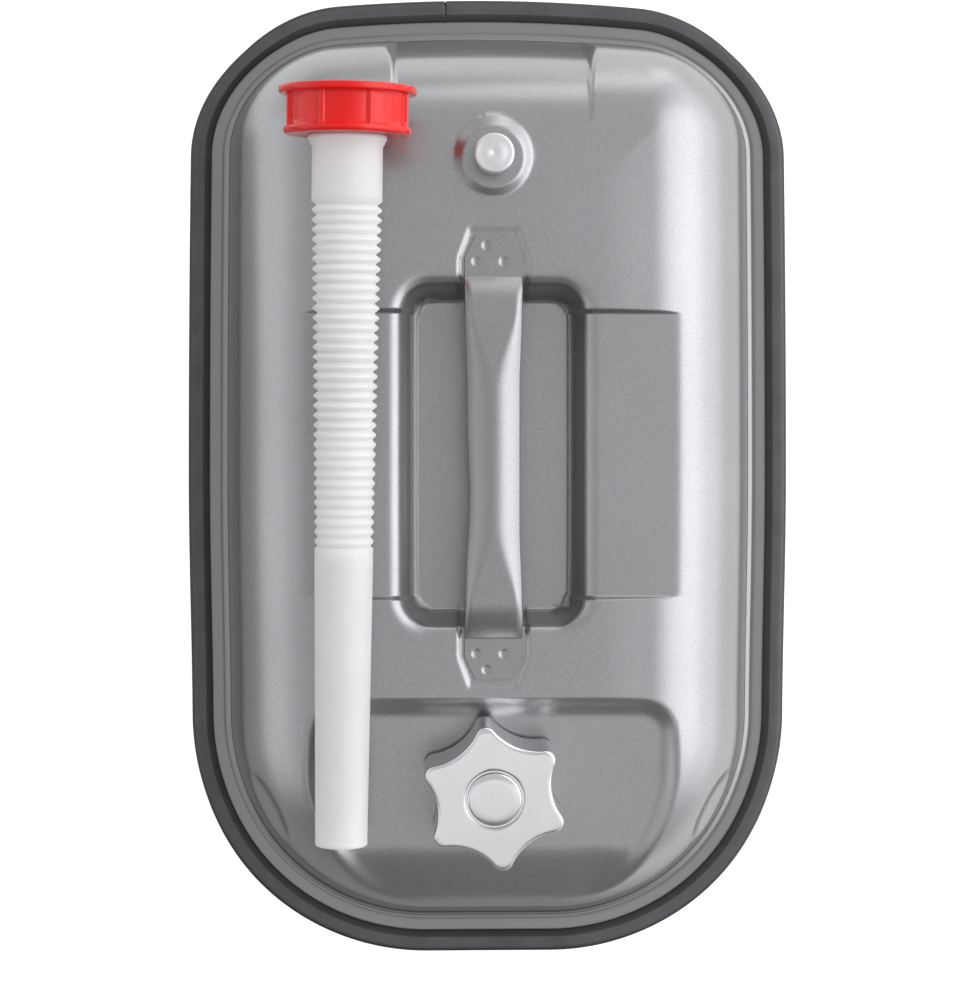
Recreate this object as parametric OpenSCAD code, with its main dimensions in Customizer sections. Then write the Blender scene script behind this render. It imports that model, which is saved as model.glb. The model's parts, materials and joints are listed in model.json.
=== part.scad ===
// Flat fuel can lying on its back, with a pouring spout laid along its face.
// Millimetres. +Z is the normal of the front face and +Y points to the vent end.
// The origin is under the middle of the can, on the surface that it lies on.

/* [Can body] */
// Width over the rubber trim
can_w = 340; // [310:1:400]
// Length over the rubber trim
can_l = 540; // [510:1:620]
// Thickness from the back panel to the face
can_t = 164; // [150:1:190]
// Outer corner radius at the vent end
vent_corner_r = 84; // [83:0.5:88]
// Outer corner radius at the cap end
cap_corner_r = 135; // [115:1:145]
// Thickness of the sheet steel
sheet = 1; // [0.8:0.1:1.4]
// Radius between the side walls and the face
shoulder_r = 55; // [45:1:56]

/* [Seam and trim] */
// Distance from the outside of the trim to the foot of the side walls
seam_w = 22; // [20:0.5:24]
// Width of the rubber trim
trim_w = 12; // [10:0.5:14]
// Thickness of the rubber trim
trim_t = 9; // [7:0.5:12]
// Rubber outside the bottom of the trim's slot
trim_back = 3; // [2:0.5:4]

/* [Handle well] */
// Distance from the middle of the can to the middle of the well
well_y = 10.8; // [0:0.1:20]
// Width of the well at the face
well_w = 118; // [100:1:130]
// Length of the well at the face
well_l = 195.6; // [185:0.2:205]
// Depth of the well
well_depth = 26; // [15:1:30]
// Corner radius of the well at the face
well_corner_r = 24; // [20:1:30]
// Slope of the well's walls from the vertical, in degrees
well_slope = 25; // [10:1:30]
// Width of the shallow recess across the can, along its length
strap_recess_w = 154; // [130:1:165]
// Depth of the shallow recess
strap_recess_depth = 3.75; // [2:0.25:5]

/* [Handle] */
// Distance from the middle of the well back to the middle of the strap
handle_shift = 1.6; // [0:0.1:4]
// Width of the strap
strap_w = 30; // [24:1:34]
// Thickness of the strap
strap_t = 2; // [1.5:0.1:3]
// Distance between the two bends where the strap leaves its tabs
strap_span = 190; // [180:1:198]
// Height of the strap's top over the face
strap_rise = 10; // [8:0.5:16]
// Length of the ramp from tab to strap
strap_ramp = 16; // [12:1:24]
// Drop of the strap's rolled edges
strap_lip = 4; // [2:0.5:6]
// Length of each welded tab
tab_l = 24; // [20:1:28]
// Width of a tab at its outer end
tab_end_w = 19; // [15:1:24]
// Depth of the seat that a tab lies in
tab_seat_depth = 1.5; // [1:0.1:2]
// Bare margin of the seat round a tab
tab_seat_margin = 4; // [2:0.5:6]
// Diameter of a spot weld's dimple
weld_d = 5; // [4:0.5:7]
// Depth of a spot weld's dimple
weld_depth = 0.6; // [0.3:0.1:0.9]

/* [Cap recess] */
// Distance from the cap end of the can to the step of the cap recess
step_from_end = 150; // [140:1:160]
// Depth of the step
step_depth = 5; // [3:0.5:8]
// Tilt of the recess floor and of the filler neck, in degrees
neck_tilt = 8; // [5:0.5:11]
// Width of the cap recess
cap_recess_w = 206; // [180:1:220]
// Corner radius of the cap recess at its step
cap_recess_step_r = 20; // [12:1:26]
// Corner radius of the cap recess at the cap end
cap_recess_end_r = 88; // [70:1:95]
// Depth of the flat scoop on each corner at the cap end
scoop_depth = 2.5; // [1:0.25:3]
// Direction of the scoops in plan, from the width of the can, in degrees
scoop_turn = 28; // [15:1:45]
// Steepness of the scoops, in degrees
scoop_tilt = 66; // [50:1:70]

/* [Filler neck] */
// Distance from the cap end of the can to the middle of the neck
neck_from_end = 102.5; // [92:0.5:104]
// Outer diameter of the neck
neck_d = 49; // [44:0.5:50]
// Bore of the neck
neck_bore_d = 42; // [36:0.5:43]
// Height of the neck over the recess floor
neck_h = 22; // [20:0.5:26]
// Height of the thread's ridges
thread_h = 1.2; // [0.8:0.1:1.4]
// Distance from ridge to ridge
thread_pitch = 4; // [3:0.25:5]
// Width of the weld flange round the neck, under the sheet
neck_flange_w = 7; // [5:0.5:9]

/* [Cap] */
// Diameter over the lobes
cap_d = 79; // [72:1:84]
// Diameter at the bottom of the valleys between the lobes
cap_valley_d = 61.5; // [60:0.5:64]
// Radius of the valleys
cap_valley_r = 16; // [12:0.5:20]
// Lobes on the cap
cap_lobes = 6; // [5:1:8]
// Turn of the lobes, in degrees
cap_turn = 8; // [0:1:30]
// Gap between the cap's rim and the recess floor
cap_gap = 3; // [2:0.25:5]
// Thickness of the cap's top
cap_top_t = 4; // [3:0.25:6]
// Rounding of the cap's upper edge
cap_edge_r = 5; // [3:0.5:6]
// Diameter of the centre disc
disc_d = 29.4; // [24:0.2:34]
// Thickness of the centre disc
disc_t = 1.6; // [1:0.1:2.4]
// Wall of the threaded cup
cup_wall = 2; // [1.5:0.1:2.2]
// Thickness of the cap gasket
gasket_t = 2; // [1.5:0.1:3]
// Thickness of the slip washer
washer_t = 0.8; // [0.5:0.1:1.2]

/* [Vent] */
// Distance from the vent end of the can to the middle of the vent
vent_from_end = 100; // [96:1:106]
// Half width of the slot in the shoulder at the vent end
slot_half_w = 52.5; // [45:0.5:60]
// Draft of the slot's wall, in degrees
slot_draft = 24; // [18:1:26]
// Diameter of the raised ring at its foot
ring_d = 44; // [40:1:48]
// Diameter of the flat on top of the raised ring
ring_flat_d = 33; // [30:1:36]
// Height of the raised ring
ring_h = 3; // [2:0.25:4]
// Diameter of the vent knob
knob_d = 21; // [19:0.5:26]
// Height of the vent knob
knob_h = 16; // [12:0.5:20]
// Chamfer of the vent knob's upper edge
knob_edge = 1; // [0.5:0.25:2]
// Diameter of the vent screw
stem_d = 8; // [6:0.5:9]
// Outer diameter of the bush that takes the screw
boss_d = 13; // [12:0.5:15]
// Length of the bush under the sheet
boss_depth = 11; // [8:0.5:14]
// Lift of the vent screw when it is open
vent_travel = 5; // [3:0.25:6]
// Thickness of the O-ring
o_ring_t = 2; // [1.6:0.1:2.4]

/* [Spout] */
// Distance from the vent end of the can to the mouth of the collar
mouth_from_end = 68.5; // [60:0.5:80]
// Distance from the middle of the can to the mouth of the collar
mouth_x = 77; // [70:0.5:84]
// Turn of the spout in plan, in degrees
spout_yaw = 0.6; // [0:0.1:1.5]
// Diameter of the collar's rim
collar_rim_d = 72; // [70:0.5:78]
// Length of the collar's rim
collar_rim_l = 4; // [3:0.25:6]
// Diameter of the collar over its grip ribs
collar_d = 67; // [64:0.5:69]
// Length of the collar
collar_l = 25; // [22:0.5:30]
// Plain ring under the grip ribs
collar_band_l = 6; // [4:0.5:9]
// Grip ribs on the collar
collar_ribs = 8; // [6:1:12]
// Width of a grip rib
collar_rib_w = 5; // [3:0.25:7]
// Depth of the grooves between the grip ribs
collar_rib_h = 1.6; // [1:0.1:2.5]
// Thickness of the collar's floor
collar_floor_t = 4; // [3:0.25:5]
// Outer diameter of the plain end of the tube
tube_d = 37; // [34:0.5:40]
// Wall of the tube
tube_wall = 2; // [1.5:0.1:2.5]
// Length of the plain end past the bead
tube_plain_l = 30.5; // [25:0.5:36]
// Diameter of the bead that holds the collar
bead_d = 41.5; // [40:0.5:45]
// Length of the bead
bead_l = 5.5; // [4:0.25:7]
// Thickness of the flange inside the collar
tube_flange_t = 2; // [1.5:0.1:2.5]
// Thickness of the spout gasket
spout_gasket_t = 2.2; // [1.5:0.1:3]
// Ribs in the bellows
bellows_ribs = 35; // [30:1:40]
// Length from rib to rib
bellows_pitch = 5.1; // [4.6:0.1:5.4]
// Depth of the folds between the ribs
bellows_fold = 3; // [2:0.25:3.5]
// Wall of the bellows
bellows_wall = 1.4; // [1:0.1:2]
// Diameter over the ribs at the tip's end
bellows_end_d = 31; // [29:0.5:33]
// Length of the tip
tip_l = 159; // [150:1:170]
// Outer diameter of the tip at its mouth
tip_end_d = 27.6; // [26:0.2:29]

/* [Back panel] */
// Width of the recessed panel on the back
panel_w = 136; // [110:1:150]
// Length of the recessed panel on the back
panel_l = 326; // [280:2:350]
// Depth of the recessed panel
panel_depth = 5; // [3:0.5:7]
// Corner radius of the recessed panel
panel_corner_r = 24; // [18:1:30]
// Slope of the panel's edge from the vertical, in degrees
panel_slope = 45; // [30:1:50]
// Width of the crossed stiffening beads
cross_w = 22; // [16:1:30]
// Height of the crossed beads over the panel
cross_h = 3; // [2:0.25:4]

/* [Fits] */
// Gap between pieces that move past each other
run_gap = 0.3; // [0.2:0.05:0.5]
// Radial gap of a turning shaft or a pressed-in piece
fit_gap = 0.05; // [0.02:0.01:0.1]

/* [Hidden] */
$fn = 96;

// Each pressed half rises this far from the seam
rise = can_t / 2;
half_w = can_w / 2;
half_l = can_l / 2;
foot_l = half_l - seam_w;
// Height of the centre line of the shoulder's arc over the seam
arc_z = rise - shoulder_r;
// The corners at the vent end are parts of a sphere on top, so the shoulder's centre line runs
// through their centres, and the walls lean as their foot and the shoulder ask
wall_reach = vent_corner_r - seam_w;
wall_draft = acos(shoulder_r / norm([wall_reach, arc_z])) - atan2(arc_z, wall_reach);
slot_reach = arc_z * tan(slot_draft) + shoulder_r / cos(slot_draft);
vent_c = [half_w - vent_corner_r, half_l - vent_corner_r];
cap_c = [half_w - cap_corner_r, half_l - cap_corner_r];
cap_arc_r = cap_corner_r - vent_corner_r;
// Cutters reach this far past the surfaces that they cut
over = 2;

// Flanges by which the neck and the bush are welded under the sheet
weld_flange_t = 2;

// Seam and trim
trim_gap = 0.2;
flange_inset = trim_back + trim_gap;

// Handle, measured from the middle of the can
handle_y = well_y - handle_shift;
tab_z = can_t - tab_seat_depth;
// Places of a tab's spot welds, as shares of the strap's width and of the tab's length
weld_spots = [[0, 0.8], [-0.2, 0.4], [0.2, 0.4]];

// Cap recess and filler neck
step_y = step_from_end - half_l;
neck_y = neck_from_end - half_l;
floor_z = can_t - step_depth + (neck_y - step_y) * tan(neck_tilt);
recess_half_w = cap_recess_w / 2;
neck_hole_d = neck_d + 2 * trim_gap;
thread_ridges = floor((neck_h - cap_gap - thread_pitch) / thread_pitch);
gasket_z = neck_h + trim_gap;
washer_z = gasket_z + gasket_t + trim_gap;
cup_roof_z = washer_z + washer_t + trim_gap;
cup_bore_d = neck_d + 2 * (thread_h + run_gap);
cup_d = cup_bore_d + 2 * cup_wall;
cup_h = cup_roof_z + cup_wall;
cap_z = cup_h + fit_gap + cap_top_t;
disc_groove = 1;

// Vent, measured from the foot of the raised ring
vent_y = half_l - vent_from_end;
boss_z = can_t + ring_h;
boss_top = boss_z + over;
boss_low = boss_z - boss_depth;
boss_flange_w = 4;
boss_flange_d = boss_d + 2 * boss_flange_w;
stem_bore_d = stem_d + 2 * fit_gap;
o_ring_r = (stem_d + boss_d) / 4;
o_ring_z = boss_top + trim_gap + o_ring_t / 2;
knob_floor_z = o_ring_z + o_ring_t / 2 + trim_gap;
knob_low = boss_z + 2 * run_gap;
knob_cavity_d = boss_d + 4 * run_gap;
clip_t = 1.2;
clip_w = 2;
clip_z = boss_low - vent_travel - run_gap - clip_t;
stem_end_l = 2;
stem_low = clip_z - stem_end_l;
knob_roof_t = 3;
stem_top = knob_low + knob_h - knob_roof_t;
breather_w = 2;

// Spout. It rests on the collar's band and on the tip where that crosses the step.
bellows_l = bellows_ribs * bellows_pitch;
bead_z = collar_l + run_gap;
plain_z = bead_z + bead_l;
bellows_z = plain_z + tube_plain_l;
tip_z = bellows_z + bellows_l;
spout_l = tip_z + tip_l;
mouth_y = half_l - mouth_from_end;
step_reach = mouth_y - step_y;
step_share = (step_reach - tip_z) / tip_l;
step_r = (bellows_end_d + (tip_end_d - bellows_end_d) * step_share) / 2;
spout_pitch = asin((collar_d / 2 - step_r) / (step_reach - collar_l));
mouth_z = can_t + run_gap + (collar_d / 2 + collar_l * sin(spout_pitch)) / cos(spout_pitch);
collar_bore_d = neck_d + 2 * (thread_h + run_gap);
collar_hole_d = tube_d + 2 * run_gap;
tube_flange_z = collar_l - collar_floor_t - run_gap;
collar_seat_d = collar_bore_d - 4 * run_gap;
tube_flange_d = collar_seat_d - 2 * run_gap;
collar_thread_l = tube_flange_z - tube_flange_t - spout_gasket_t - run_gap;
tube_bore_d = tube_d - 2 * tube_wall;
fold_bore_d = tube_d - 2 * (bellows_fold + bellows_wall);

// A wall and shoulder of the pressing, from its centre line outwards and from the seam up.
// arc_x is the place of the shoulder's centre, and skin moves the whole outline inwards,
// which gives the inner face of the sheet.
module wall_profile(arc_x, draft, skin) {
    arc_r = shoulder_r - skin;
    low_z = skin > 0 ? -over : 0;
    translate([arc_x, 0]) {
        polygon([
            [0, low_z],
            [arc_r / cos(draft) + (arc_z - low_z) * tan(draft), low_z],
            [arc_r * cos(draft), arc_z + arc_r * sin(draft)],
            [0, arc_z]
        ]);
        translate([0, arc_z])
            intersection() {
                circle(arc_r);
                square(arc_r);
            }
    }
    if (arc_x > 0)
        translate([0, low_z])
            square([arc_x, rise - skin - low_z]);
}

// A profile drawn as distance and height, extruded along X about the middle
module run_along_x(length) {
    rotate([90, 0, 90])
        linear_extrude(length, center = true)
            children();
}

// One end of the plain pressing: the edge and its two corners
module pressing_end(centre, arc_r, skin) {
    translate([0, centre.y, 0])
        run_along_x(2 * centre.x)
            wall_profile(arc_r, wall_draft, skin);
    for (side = [0, 1])
        mirror([side, 0, 0])
            translate([centre.x, centre.y, 0])
                rotate_extrude(angle = 90)
                    wall_profile(arc_r, wall_draft, skin);
}

// Half of the can as a plain rounded pressing, standing on the seam
module plain_pressing(skin) {
    for (side = [0, 1])
        mirror([side, 0, 0])
            translate([0, vent_c.y, 0])
                rotate([90, 0, 0])
                    linear_extrude(vent_c.y + cap_c.y)
                        wall_profile(vent_c.x, wall_draft, skin);
    pressing_end(vent_c, 0, skin);
    mirror([0, 1, 0])
        pressing_end(cap_c, cap_arc_r, skin);
}

// A rounded rectangle with its own corner radius at each end, inset from the outside of the trim
module can_outline(inset) {
    for (side = [0, 1])
        mirror([side, 0, 0]) {
            translate(vent_c)
                circle(vent_corner_r - inset);
            translate([cap_c.x, -cap_c.y])
                circle(cap_corner_r - inset);
        }
    translate([-half_w + inset, -cap_c.y])
        square([2 * (half_w - inset), vent_c.y + cap_c.y]);
    translate([-vent_c.x, 0])
        square([2 * vent_c.x, half_l - inset]);
    translate([-cap_c.x, inset - half_l])
        square([2 * cap_c.x, half_l]);
}

// A pocket with sloped walls and round corners, cut down from the face
module sloped_pocket(width, length, corner_r, depth, slope, skin) {
    grow = skin / cos(slope);
    low = grow - (depth + skin) * tan(slope);
    top = grow + over * tan(slope);
    low_z = rise - depth - skin;
    high_z = rise + over;
    centre = [width / 2 - corner_r, length / 2 - corner_r];
    rotate([90, 0, 0])
        linear_extrude(2 * centre.y, center = true)
            pocket_section(width / 2, low, top, low_z, high_z);
    run_along_x(2 * centre.x)
        pocket_section(length / 2, low, top, low_z, high_z);
    for (x = [-centre.x, centre.x], y = [-centre.y, centre.y])
        translate([x, y, low_z])
            cylinder(h = high_z - low_z, r1 = corner_r + low, r2 = corner_r + top);
}

module pocket_section(half, low, top, low_z, high_z) {
    polygon([
        [-half - low, low_z],
        [half + low, low_z],
        [half + top, high_z],
        [-half - top, high_z]
    ]);
}

// The slot that lowers the shoulder between the two corners at the vent end
module vent_slot(skin) {
    run_along_x(2 * (slot_half_w + skin))
        difference() {
            translate([vent_y - ring_d, sheet])
                square([half_l, rise]);
            wall_profile(foot_l - slot_reach, slot_draft, skin);
        }
}

// The shallow recess across the can, beside the handle well
module strap_recess(skin) {
    translate([-half_w, well_y - strap_recess_w / 2 - skin, rise - strap_recess_depth - skin])
        cube([can_w, strap_recess_w + 2 * skin, strap_recess_depth + skin + over]);
}

// The outline of the cap recess in plan
module cap_recess_plan(skin) {
    half = recess_half_w + skin;
    near_r = cap_recess_step_r + skin;
    end_r = cap_recess_end_r + skin;
    step_edge = step_y + skin;
    step_c = step_edge - near_r;
    end_c = cap_recess_end_r - foot_l + over;
    for (side = [0, 1])
        mirror([side, 0]) {
            translate([half - near_r, step_c])
                circle(near_r);
            intersection() {
                translate([half - end_r, end_c])
                    circle(end_r);
                translate([0, end_c - end_r])
                    square([half, end_r]);
            }
        }
    translate([near_r - half, end_c])
        square([2 * (half - near_r), step_edge - end_c]);
    translate([-half, end_c])
        square([2 * half, step_c - end_c]);
    translate([end_r - half, end_c - end_r])
        square([2 * (half - end_r), end_r]);
}

// The cap recess: its outline, above a floor that falls away to the cap end
module cap_recess(skin) {
    intersection() {
        linear_extrude(2 * rise)
            cap_recess_plan(skin);
        translate([0, step_y, rise - step_depth])
            rotate([neck_tilt, 0, 0])
                translate([-half_w, -half_l, -skin])
                    cube([can_w, can_l, can_t]);
    }
}

// The flat scoops on the two corners at the cap end
module corner_scoops(skin) {
    for (side = [0, 1])
        mirror([side, 0, 0])
            translate([cap_c.x, -cap_c.y, arc_z])
                rotate([0, 0, -scoop_turn])
                    translate([cap_arc_r, 0, 0])
                        rotate([0, scoop_tilt, 0])
                            translate([-shoulder_r, -shoulder_r, shoulder_r - scoop_depth - skin])
                                cube([2 * shoulder_r, 2 * shoulder_r, shoulder_r]);
}

// A tab of the handle in plan, from its bend at 0 outwards, grown by a margin
module tab_plan(margin) {
    wide = strap_w / 2 + margin;
    narrow = tab_end_w / 2 + margin;
    end = tab_l + margin;
    polygon([
        [-wide, -tab_l / 2],
        [wide, -tab_l / 2],
        [wide, tab_l / 2],
        [narrow, end],
        [-narrow, end],
        [-wide, tab_l / 2]
    ]);
}

// Places something drawn from the bend of a tab outwards at both ends of the handle
module at_both_tabs() {
    for (side = [0, 1])
        translate([0, handle_y, 0])
            mirror([0, side, 0])
                translate([0, strap_span / 2, 0])
                    children();
}

module tab_seats(skin) {
    at_both_tabs()
        translate([0, 0, rise - tab_seat_depth - skin])
            linear_extrude(tab_seat_depth + skin + over)
                tab_plan(tab_seat_margin + skin);
}

// The raised ring that carries the vent
module vent_ring(skin) {
    translate([0, vent_y, 0]) {
        translate([0, 0, rise - ring_d / 2])
            cylinder(h = ring_d / 2, d = ring_d - 2 * skin);
        translate([0, 0, rise - skin])
            cylinder(h = ring_h, d1 = ring_d - 2 * skin, d2 = ring_flat_d - 2 * skin);
    }
}

// The front half with all its pressed features, standing on the seam
module front_pressing(skin) {
    difference() {
        plain_pressing(skin);
        vent_slot(skin);
        strap_recess(skin);
        translate([0, well_y, 0])
            sloped_pocket(well_w, well_l, well_corner_r, well_depth, well_slope, skin);
        cap_recess(skin);
        corner_scoops(skin);
        tab_seats(skin);
    }
    vent_ring(skin);
}

// The crossed beads that stay up inside the recessed back panel
module cross_beads(skin) {
    bead_turn = atan2(panel_l, panel_w);
    for (turn = [bead_turn, -bead_turn])
        rotate([0, 0, turn])
            translate([-can_l / 2, -cross_w / 2 + skin, 0])
                cube([can_l, cross_w - 2 * skin, rise - panel_depth + cross_h - skin]);
}

module back_pressing(skin) {
    difference() {
        plain_pressing(skin);
        difference() {
            sloped_pocket(panel_w, panel_l, panel_corner_r, panel_depth, panel_slope, skin);
            cross_beads(skin);
        }
    }
}

// The flat seam round a half, which the trim grips
module seam_plate() {
    linear_extrude(sheet)
        can_outline(flange_inset);
}

module at_seam() {
    translate([0, 0, rise])
        children();
}

// The frame of the filler neck: its origin is on the recess floor
module at_neck() {
    translate([0, neck_y, floor_z])
        rotate([neck_tilt, 0, 0])
            children();
}

module at_vent() {
    translate([0, vent_y, 0])
        children();
}

// The frame of the spout: its origin is the collar's mouth and the spout runs along +Z
module at_spout() {
    translate([-mouth_x, mouth_y, mouth_z])
        rotate([90 + spout_pitch, 0, -spout_yaw])
            children();
}

// A ring or sleeve from its two diameters
module sleeve(outer_d, inner_d, low, high) {
    translate([0, 0, low])
        difference() {
            cylinder(h = high - low, d = outer_d);
            translate([0, 0, -over])
                cylinder(h = high - low + 2 * over, d = inner_d);
        }
}

module front_shell() {
    color("silver")
        difference() {
            at_seam()
                union() {
                    front_pressing(0);
                    seam_plate();
                }
            at_seam()
                front_pressing(sheet);
            at_neck()
                translate([0, 0, -neck_h / 2])
                    cylinder(h = neck_h, d = neck_hole_d);
            at_vent()
                translate([0, 0, boss_low])
                    cylinder(h = boss_depth + over, d = boss_d + 2 * trim_gap);
        }
}

module back_shell() {
    color("silver")
        at_seam()
            mirror([0, 0, 1])
                difference() {
                    union() {
                        back_pressing(0);
                        seam_plate();
                    }
                    back_pressing(sheet);
                }
}

module rim_trim() {
    color("black")
        translate([0, 0, rise - trim_t / 2])
            difference() {
                linear_extrude(trim_t)
                    can_outline(0);
                translate([0, 0, -over])
                    linear_extrude(trim_t + 2 * over)
                        can_outline(trim_w);
                translate([0, 0, trim_t / 2 - sheet])
                    linear_extrude(2 * sheet)
                        can_outline(trim_back);
            }
}

// The strap from the side: the sheet from tab to tab, on its lower face
module strap_path() {
    bend = strap_span / 2;
    top_z = can_t + strap_rise - strap_t;
    polygon([
        [-bend - tab_l, tab_z],
        [-bend, tab_z],
        [strap_ramp - bend, top_z],
        [bend - strap_ramp, top_z],
        [bend, tab_z],
        [bend + tab_l, tab_z],
        [bend + tab_l, tab_z + strap_t],
        [bend, tab_z + strap_t],
        [bend - strap_ramp, top_z + strap_t],
        [strap_ramp - bend, top_z + strap_t],
        [-bend, tab_z + strap_t],
        [-bend - tab_l, tab_z + strap_t]
    ]);
}

// The rolled edge from the side: it hangs below the strap and runs out at the bends
module strap_edge_path() {
    bend = strap_span / 2;
    top_z = can_t + strap_rise - strap_t;
    polygon([
        [-bend, tab_z + strap_t],
        [strap_ramp + strap_lip - bend, top_z - strap_lip],
        [bend - strap_ramp - strap_lip, top_z - strap_lip],
        [bend, tab_z + strap_t],
        [bend - strap_ramp, top_z + strap_t],
        [strap_ramp - bend, top_z + strap_t]
    ]);
}

module handle() {
    color("darkgray")
        difference() {
            union() {
                intersection() {
                    translate([0, handle_y, 0])
                        run_along_x(strap_w)
                            strap_path();
                    linear_extrude(2 * can_t)
                        union() {
                            at_both_tabs()
                                tab_plan(0);
                            translate([-strap_w / 2, handle_y - strap_span / 2])
                                square([strap_w, strap_span]);
                        }
                }
                for (x = [-1, 1] * (strap_w - strap_t) / 2)
                    translate([x, handle_y, 0])
                        run_along_x(strap_t)
                            strap_edge_path();
            }
            at_both_tabs()
                for (spot = weld_spots)
                    translate([spot.x * strap_w, spot.y * tab_l, tab_z + strap_t - weld_depth])
                        cylinder(h = over, d = weld_d);
        }
}

module filler_neck() {
    color("gainsboro")
        at_neck() {
            difference() {
                union() {
                    translate([0, 0, -sheet - weld_flange_t])
                        cylinder(h = weld_flange_t, d = neck_d + 2 * neck_flange_w);
                    translate([0, 0, -sheet - weld_flange_t])
                        cylinder(h = neck_h + sheet + weld_flange_t, d = neck_d);
                    for (i = [1 : thread_ridges])
                        translate([0, 0, neck_h - i * thread_pitch])
                            thread_ridge();
                }
                translate([0, 0, -neck_h])
                    cylinder(h = 3 * neck_h, d = neck_bore_d);
            }
        }
}

// One ridge of the neck's thread
module thread_ridge() {
    foot_h = thread_pitch / 2;
    tip_h = foot_h / 3;
    rotate_extrude()
        polygon([
            [neck_bore_d / 2, 0],
            [neck_d / 2, 0],
            [neck_d / 2 + thread_h, tip_h],
            [neck_d / 2 + thread_h, foot_h - tip_h],
            [neck_d / 2, foot_h],
            [neck_bore_d / 2, foot_h]
        ]);
}

// The lobed outline of the cap
module cap_outline() {
    difference() {
        circle(d = cap_d);
        for (i = [0 : cap_lobes - 1])
            rotate(90 + cap_turn + (i + 0.5) * 360 / cap_lobes)
                translate([cap_valley_d / 2 + cap_valley_r, 0])
                    circle(cap_valley_r);
    }
}

module cap_star() {
    color("lightgray")
        at_neck()
            difference() {
                intersection() {
                    linear_extrude(cap_z)
                        cap_outline();
                    cap_envelope();
                }
                translate([0, 0, -over])
                    cylinder(h = cup_h + fit_gap + over, d = cup_d + 2 * fit_gap);
                translate([0, 0, cap_z - disc_t])
                    cylinder(h = disc_t + over, d = disc_d + 2 * disc_groove);
            }
}

// The turned outer form of the cap, with its rounded upper edge
module cap_envelope() {
    corner = cap_d / 2 - cap_edge_r;
    rotate_extrude() {
        translate([0, cap_gap])
            square([corner, cap_z - cap_gap]);
        translate([0, cap_gap])
            square([cap_d / 2, cap_z - cap_gap - cap_edge_r]);
        translate([corner, cap_z - cap_edge_r])
            circle(cap_edge_r);
    }
}

module cap_thread_cup() {
    color("gainsboro")
        at_neck() {
            sleeve(cup_d, cup_bore_d, cap_gap + run_gap, cup_h);
            translate([0, 0, cup_roof_z])
                cylinder(h = cup_wall, d = cup_d);
        }
}

module cap_disc() {
    color("whitesmoke")
        at_neck()
            translate([0, 0, cap_z - disc_t])
                cylinder(h = disc_t, d = disc_d);
}

module cap_gasket() {
    color("dimgray")
        at_neck()
            sleeve(neck_d + 2 * thread_h, neck_bore_d, gasket_z, gasket_z + gasket_t);
}

module cap_slip_washer() {
    color("white")
        at_neck()
            sleeve(neck_d + 2 * thread_h, neck_bore_d, washer_z, washer_z + washer_t);
}

module vent_boss() {
    color("gainsboro")
        at_vent()
            difference() {
                union() {
                    translate([0, 0, boss_low])
                        cylinder(h = boss_top - boss_low, d = boss_d);
                    translate([0, 0, boss_z - sheet - weld_flange_t])
                        cylinder(h = weld_flange_t, d = boss_flange_d);
                }
                translate([0, 0, boss_low - over])
                    cylinder(h = boss_top - boss_low + 2 * over, d = stem_bore_d);
            }
}

module vent_stem() {
    color("lightgray")
        at_vent()
            difference() {
                translate([0, 0, stem_low])
                    cylinder(h = stem_top - stem_low, d = stem_d);
                translate([stem_d / 2 - breather_w / 2, -breather_w / 2, clip_z + clip_t])
                    cube([breather_w, breather_w, boss_low - clip_z]);
            }
}

module vent_knob() {
    face_z = knob_low + knob_h;
    color("lightgray")
        at_vent()
            difference() {
                union() {
                    translate([0, 0, knob_low])
                        cylinder(h = knob_h - knob_edge, d = knob_d);
                    translate([0, 0, face_z - knob_edge])
                        cylinder(h = knob_edge, d1 = knob_d, d2 = knob_d - 2 * knob_edge);
                }
                translate([0, 0, knob_low - over])
                    cylinder(h = knob_floor_z - knob_low + over, d = knob_cavity_d);
                translate([0, 0, knob_low])
                    cylinder(h = stem_top - knob_low + fit_gap, d = stem_d + 2 * fit_gap);
            }
}

module vent_o_ring() {
    color("black")
        at_vent()
            translate([0, 0, o_ring_z])
                rotate_extrude()
                    translate([o_ring_r, 0])
                        circle(d = o_ring_t);
}

module vent_clip() {
    color("gray")
        at_vent()
            sleeve(stem_d + 2 * clip_w, stem_d + 2 * fit_gap, clip_z, clip_z + clip_t);
}

module spout_collar() {
    color("red")
        at_spout()
            difference() {
                union() {
                    cylinder(h = collar_rim_l, d = collar_rim_d);
                    cylinder(h = collar_l, d = collar_d - 2 * collar_rib_h);
                    translate([0, 0, collar_l - collar_band_l])
                        cylinder(h = collar_band_l, d = collar_d);
                    intersection() {
                        cylinder(h = collar_l, d = collar_d);
                        for (i = [0 : collar_ribs - 1])
                            rotate((i + 0.5) * 360 / collar_ribs)
                                translate([collar_d / 4, -collar_rib_w / 2, 0])
                                    cube([collar_d / 2, collar_rib_w, collar_l]);
                    }
                }
                translate([0, 0, -over])
                    cylinder(h = collar_thread_l + over, d = collar_bore_d);
                cylinder(h = collar_l - collar_floor_t, d = collar_seat_d);
                cylinder(h = collar_l + over, d = collar_hole_d);
            }
}

module spout_neck() {
    color("white")
        at_spout()
            difference() {
                union() {
                    translate([0, 0, tube_flange_z - tube_flange_t])
                        cylinder(h = tube_flange_t, d = tube_flange_d);
                    translate([0, 0, tube_flange_z - tube_flange_t])
                        cylinder(h = bellows_z - tube_flange_z + tube_flange_t, d = tube_d);
                    translate([0, 0, bead_z])
                        cylinder(h = bead_l, d = bead_d);
                }
                cylinder(h = bellows_z - tube_wall, d = tube_bore_d);
                cylinder(h = bellows_z + over, d = fold_bore_d);
            }
}

module spout_gasket() {
    color("dimgray")
        at_spout()
            sleeve(tube_flange_d, tube_d, tube_flange_z - tube_flange_t - spout_gasket_t,
                   tube_flange_z - tube_flange_t);
}

// Radius over the ribs at a share of the bellows' length
function rib_r(share) = (tube_d + (bellows_end_d - tube_d) * share) / 2;

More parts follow.
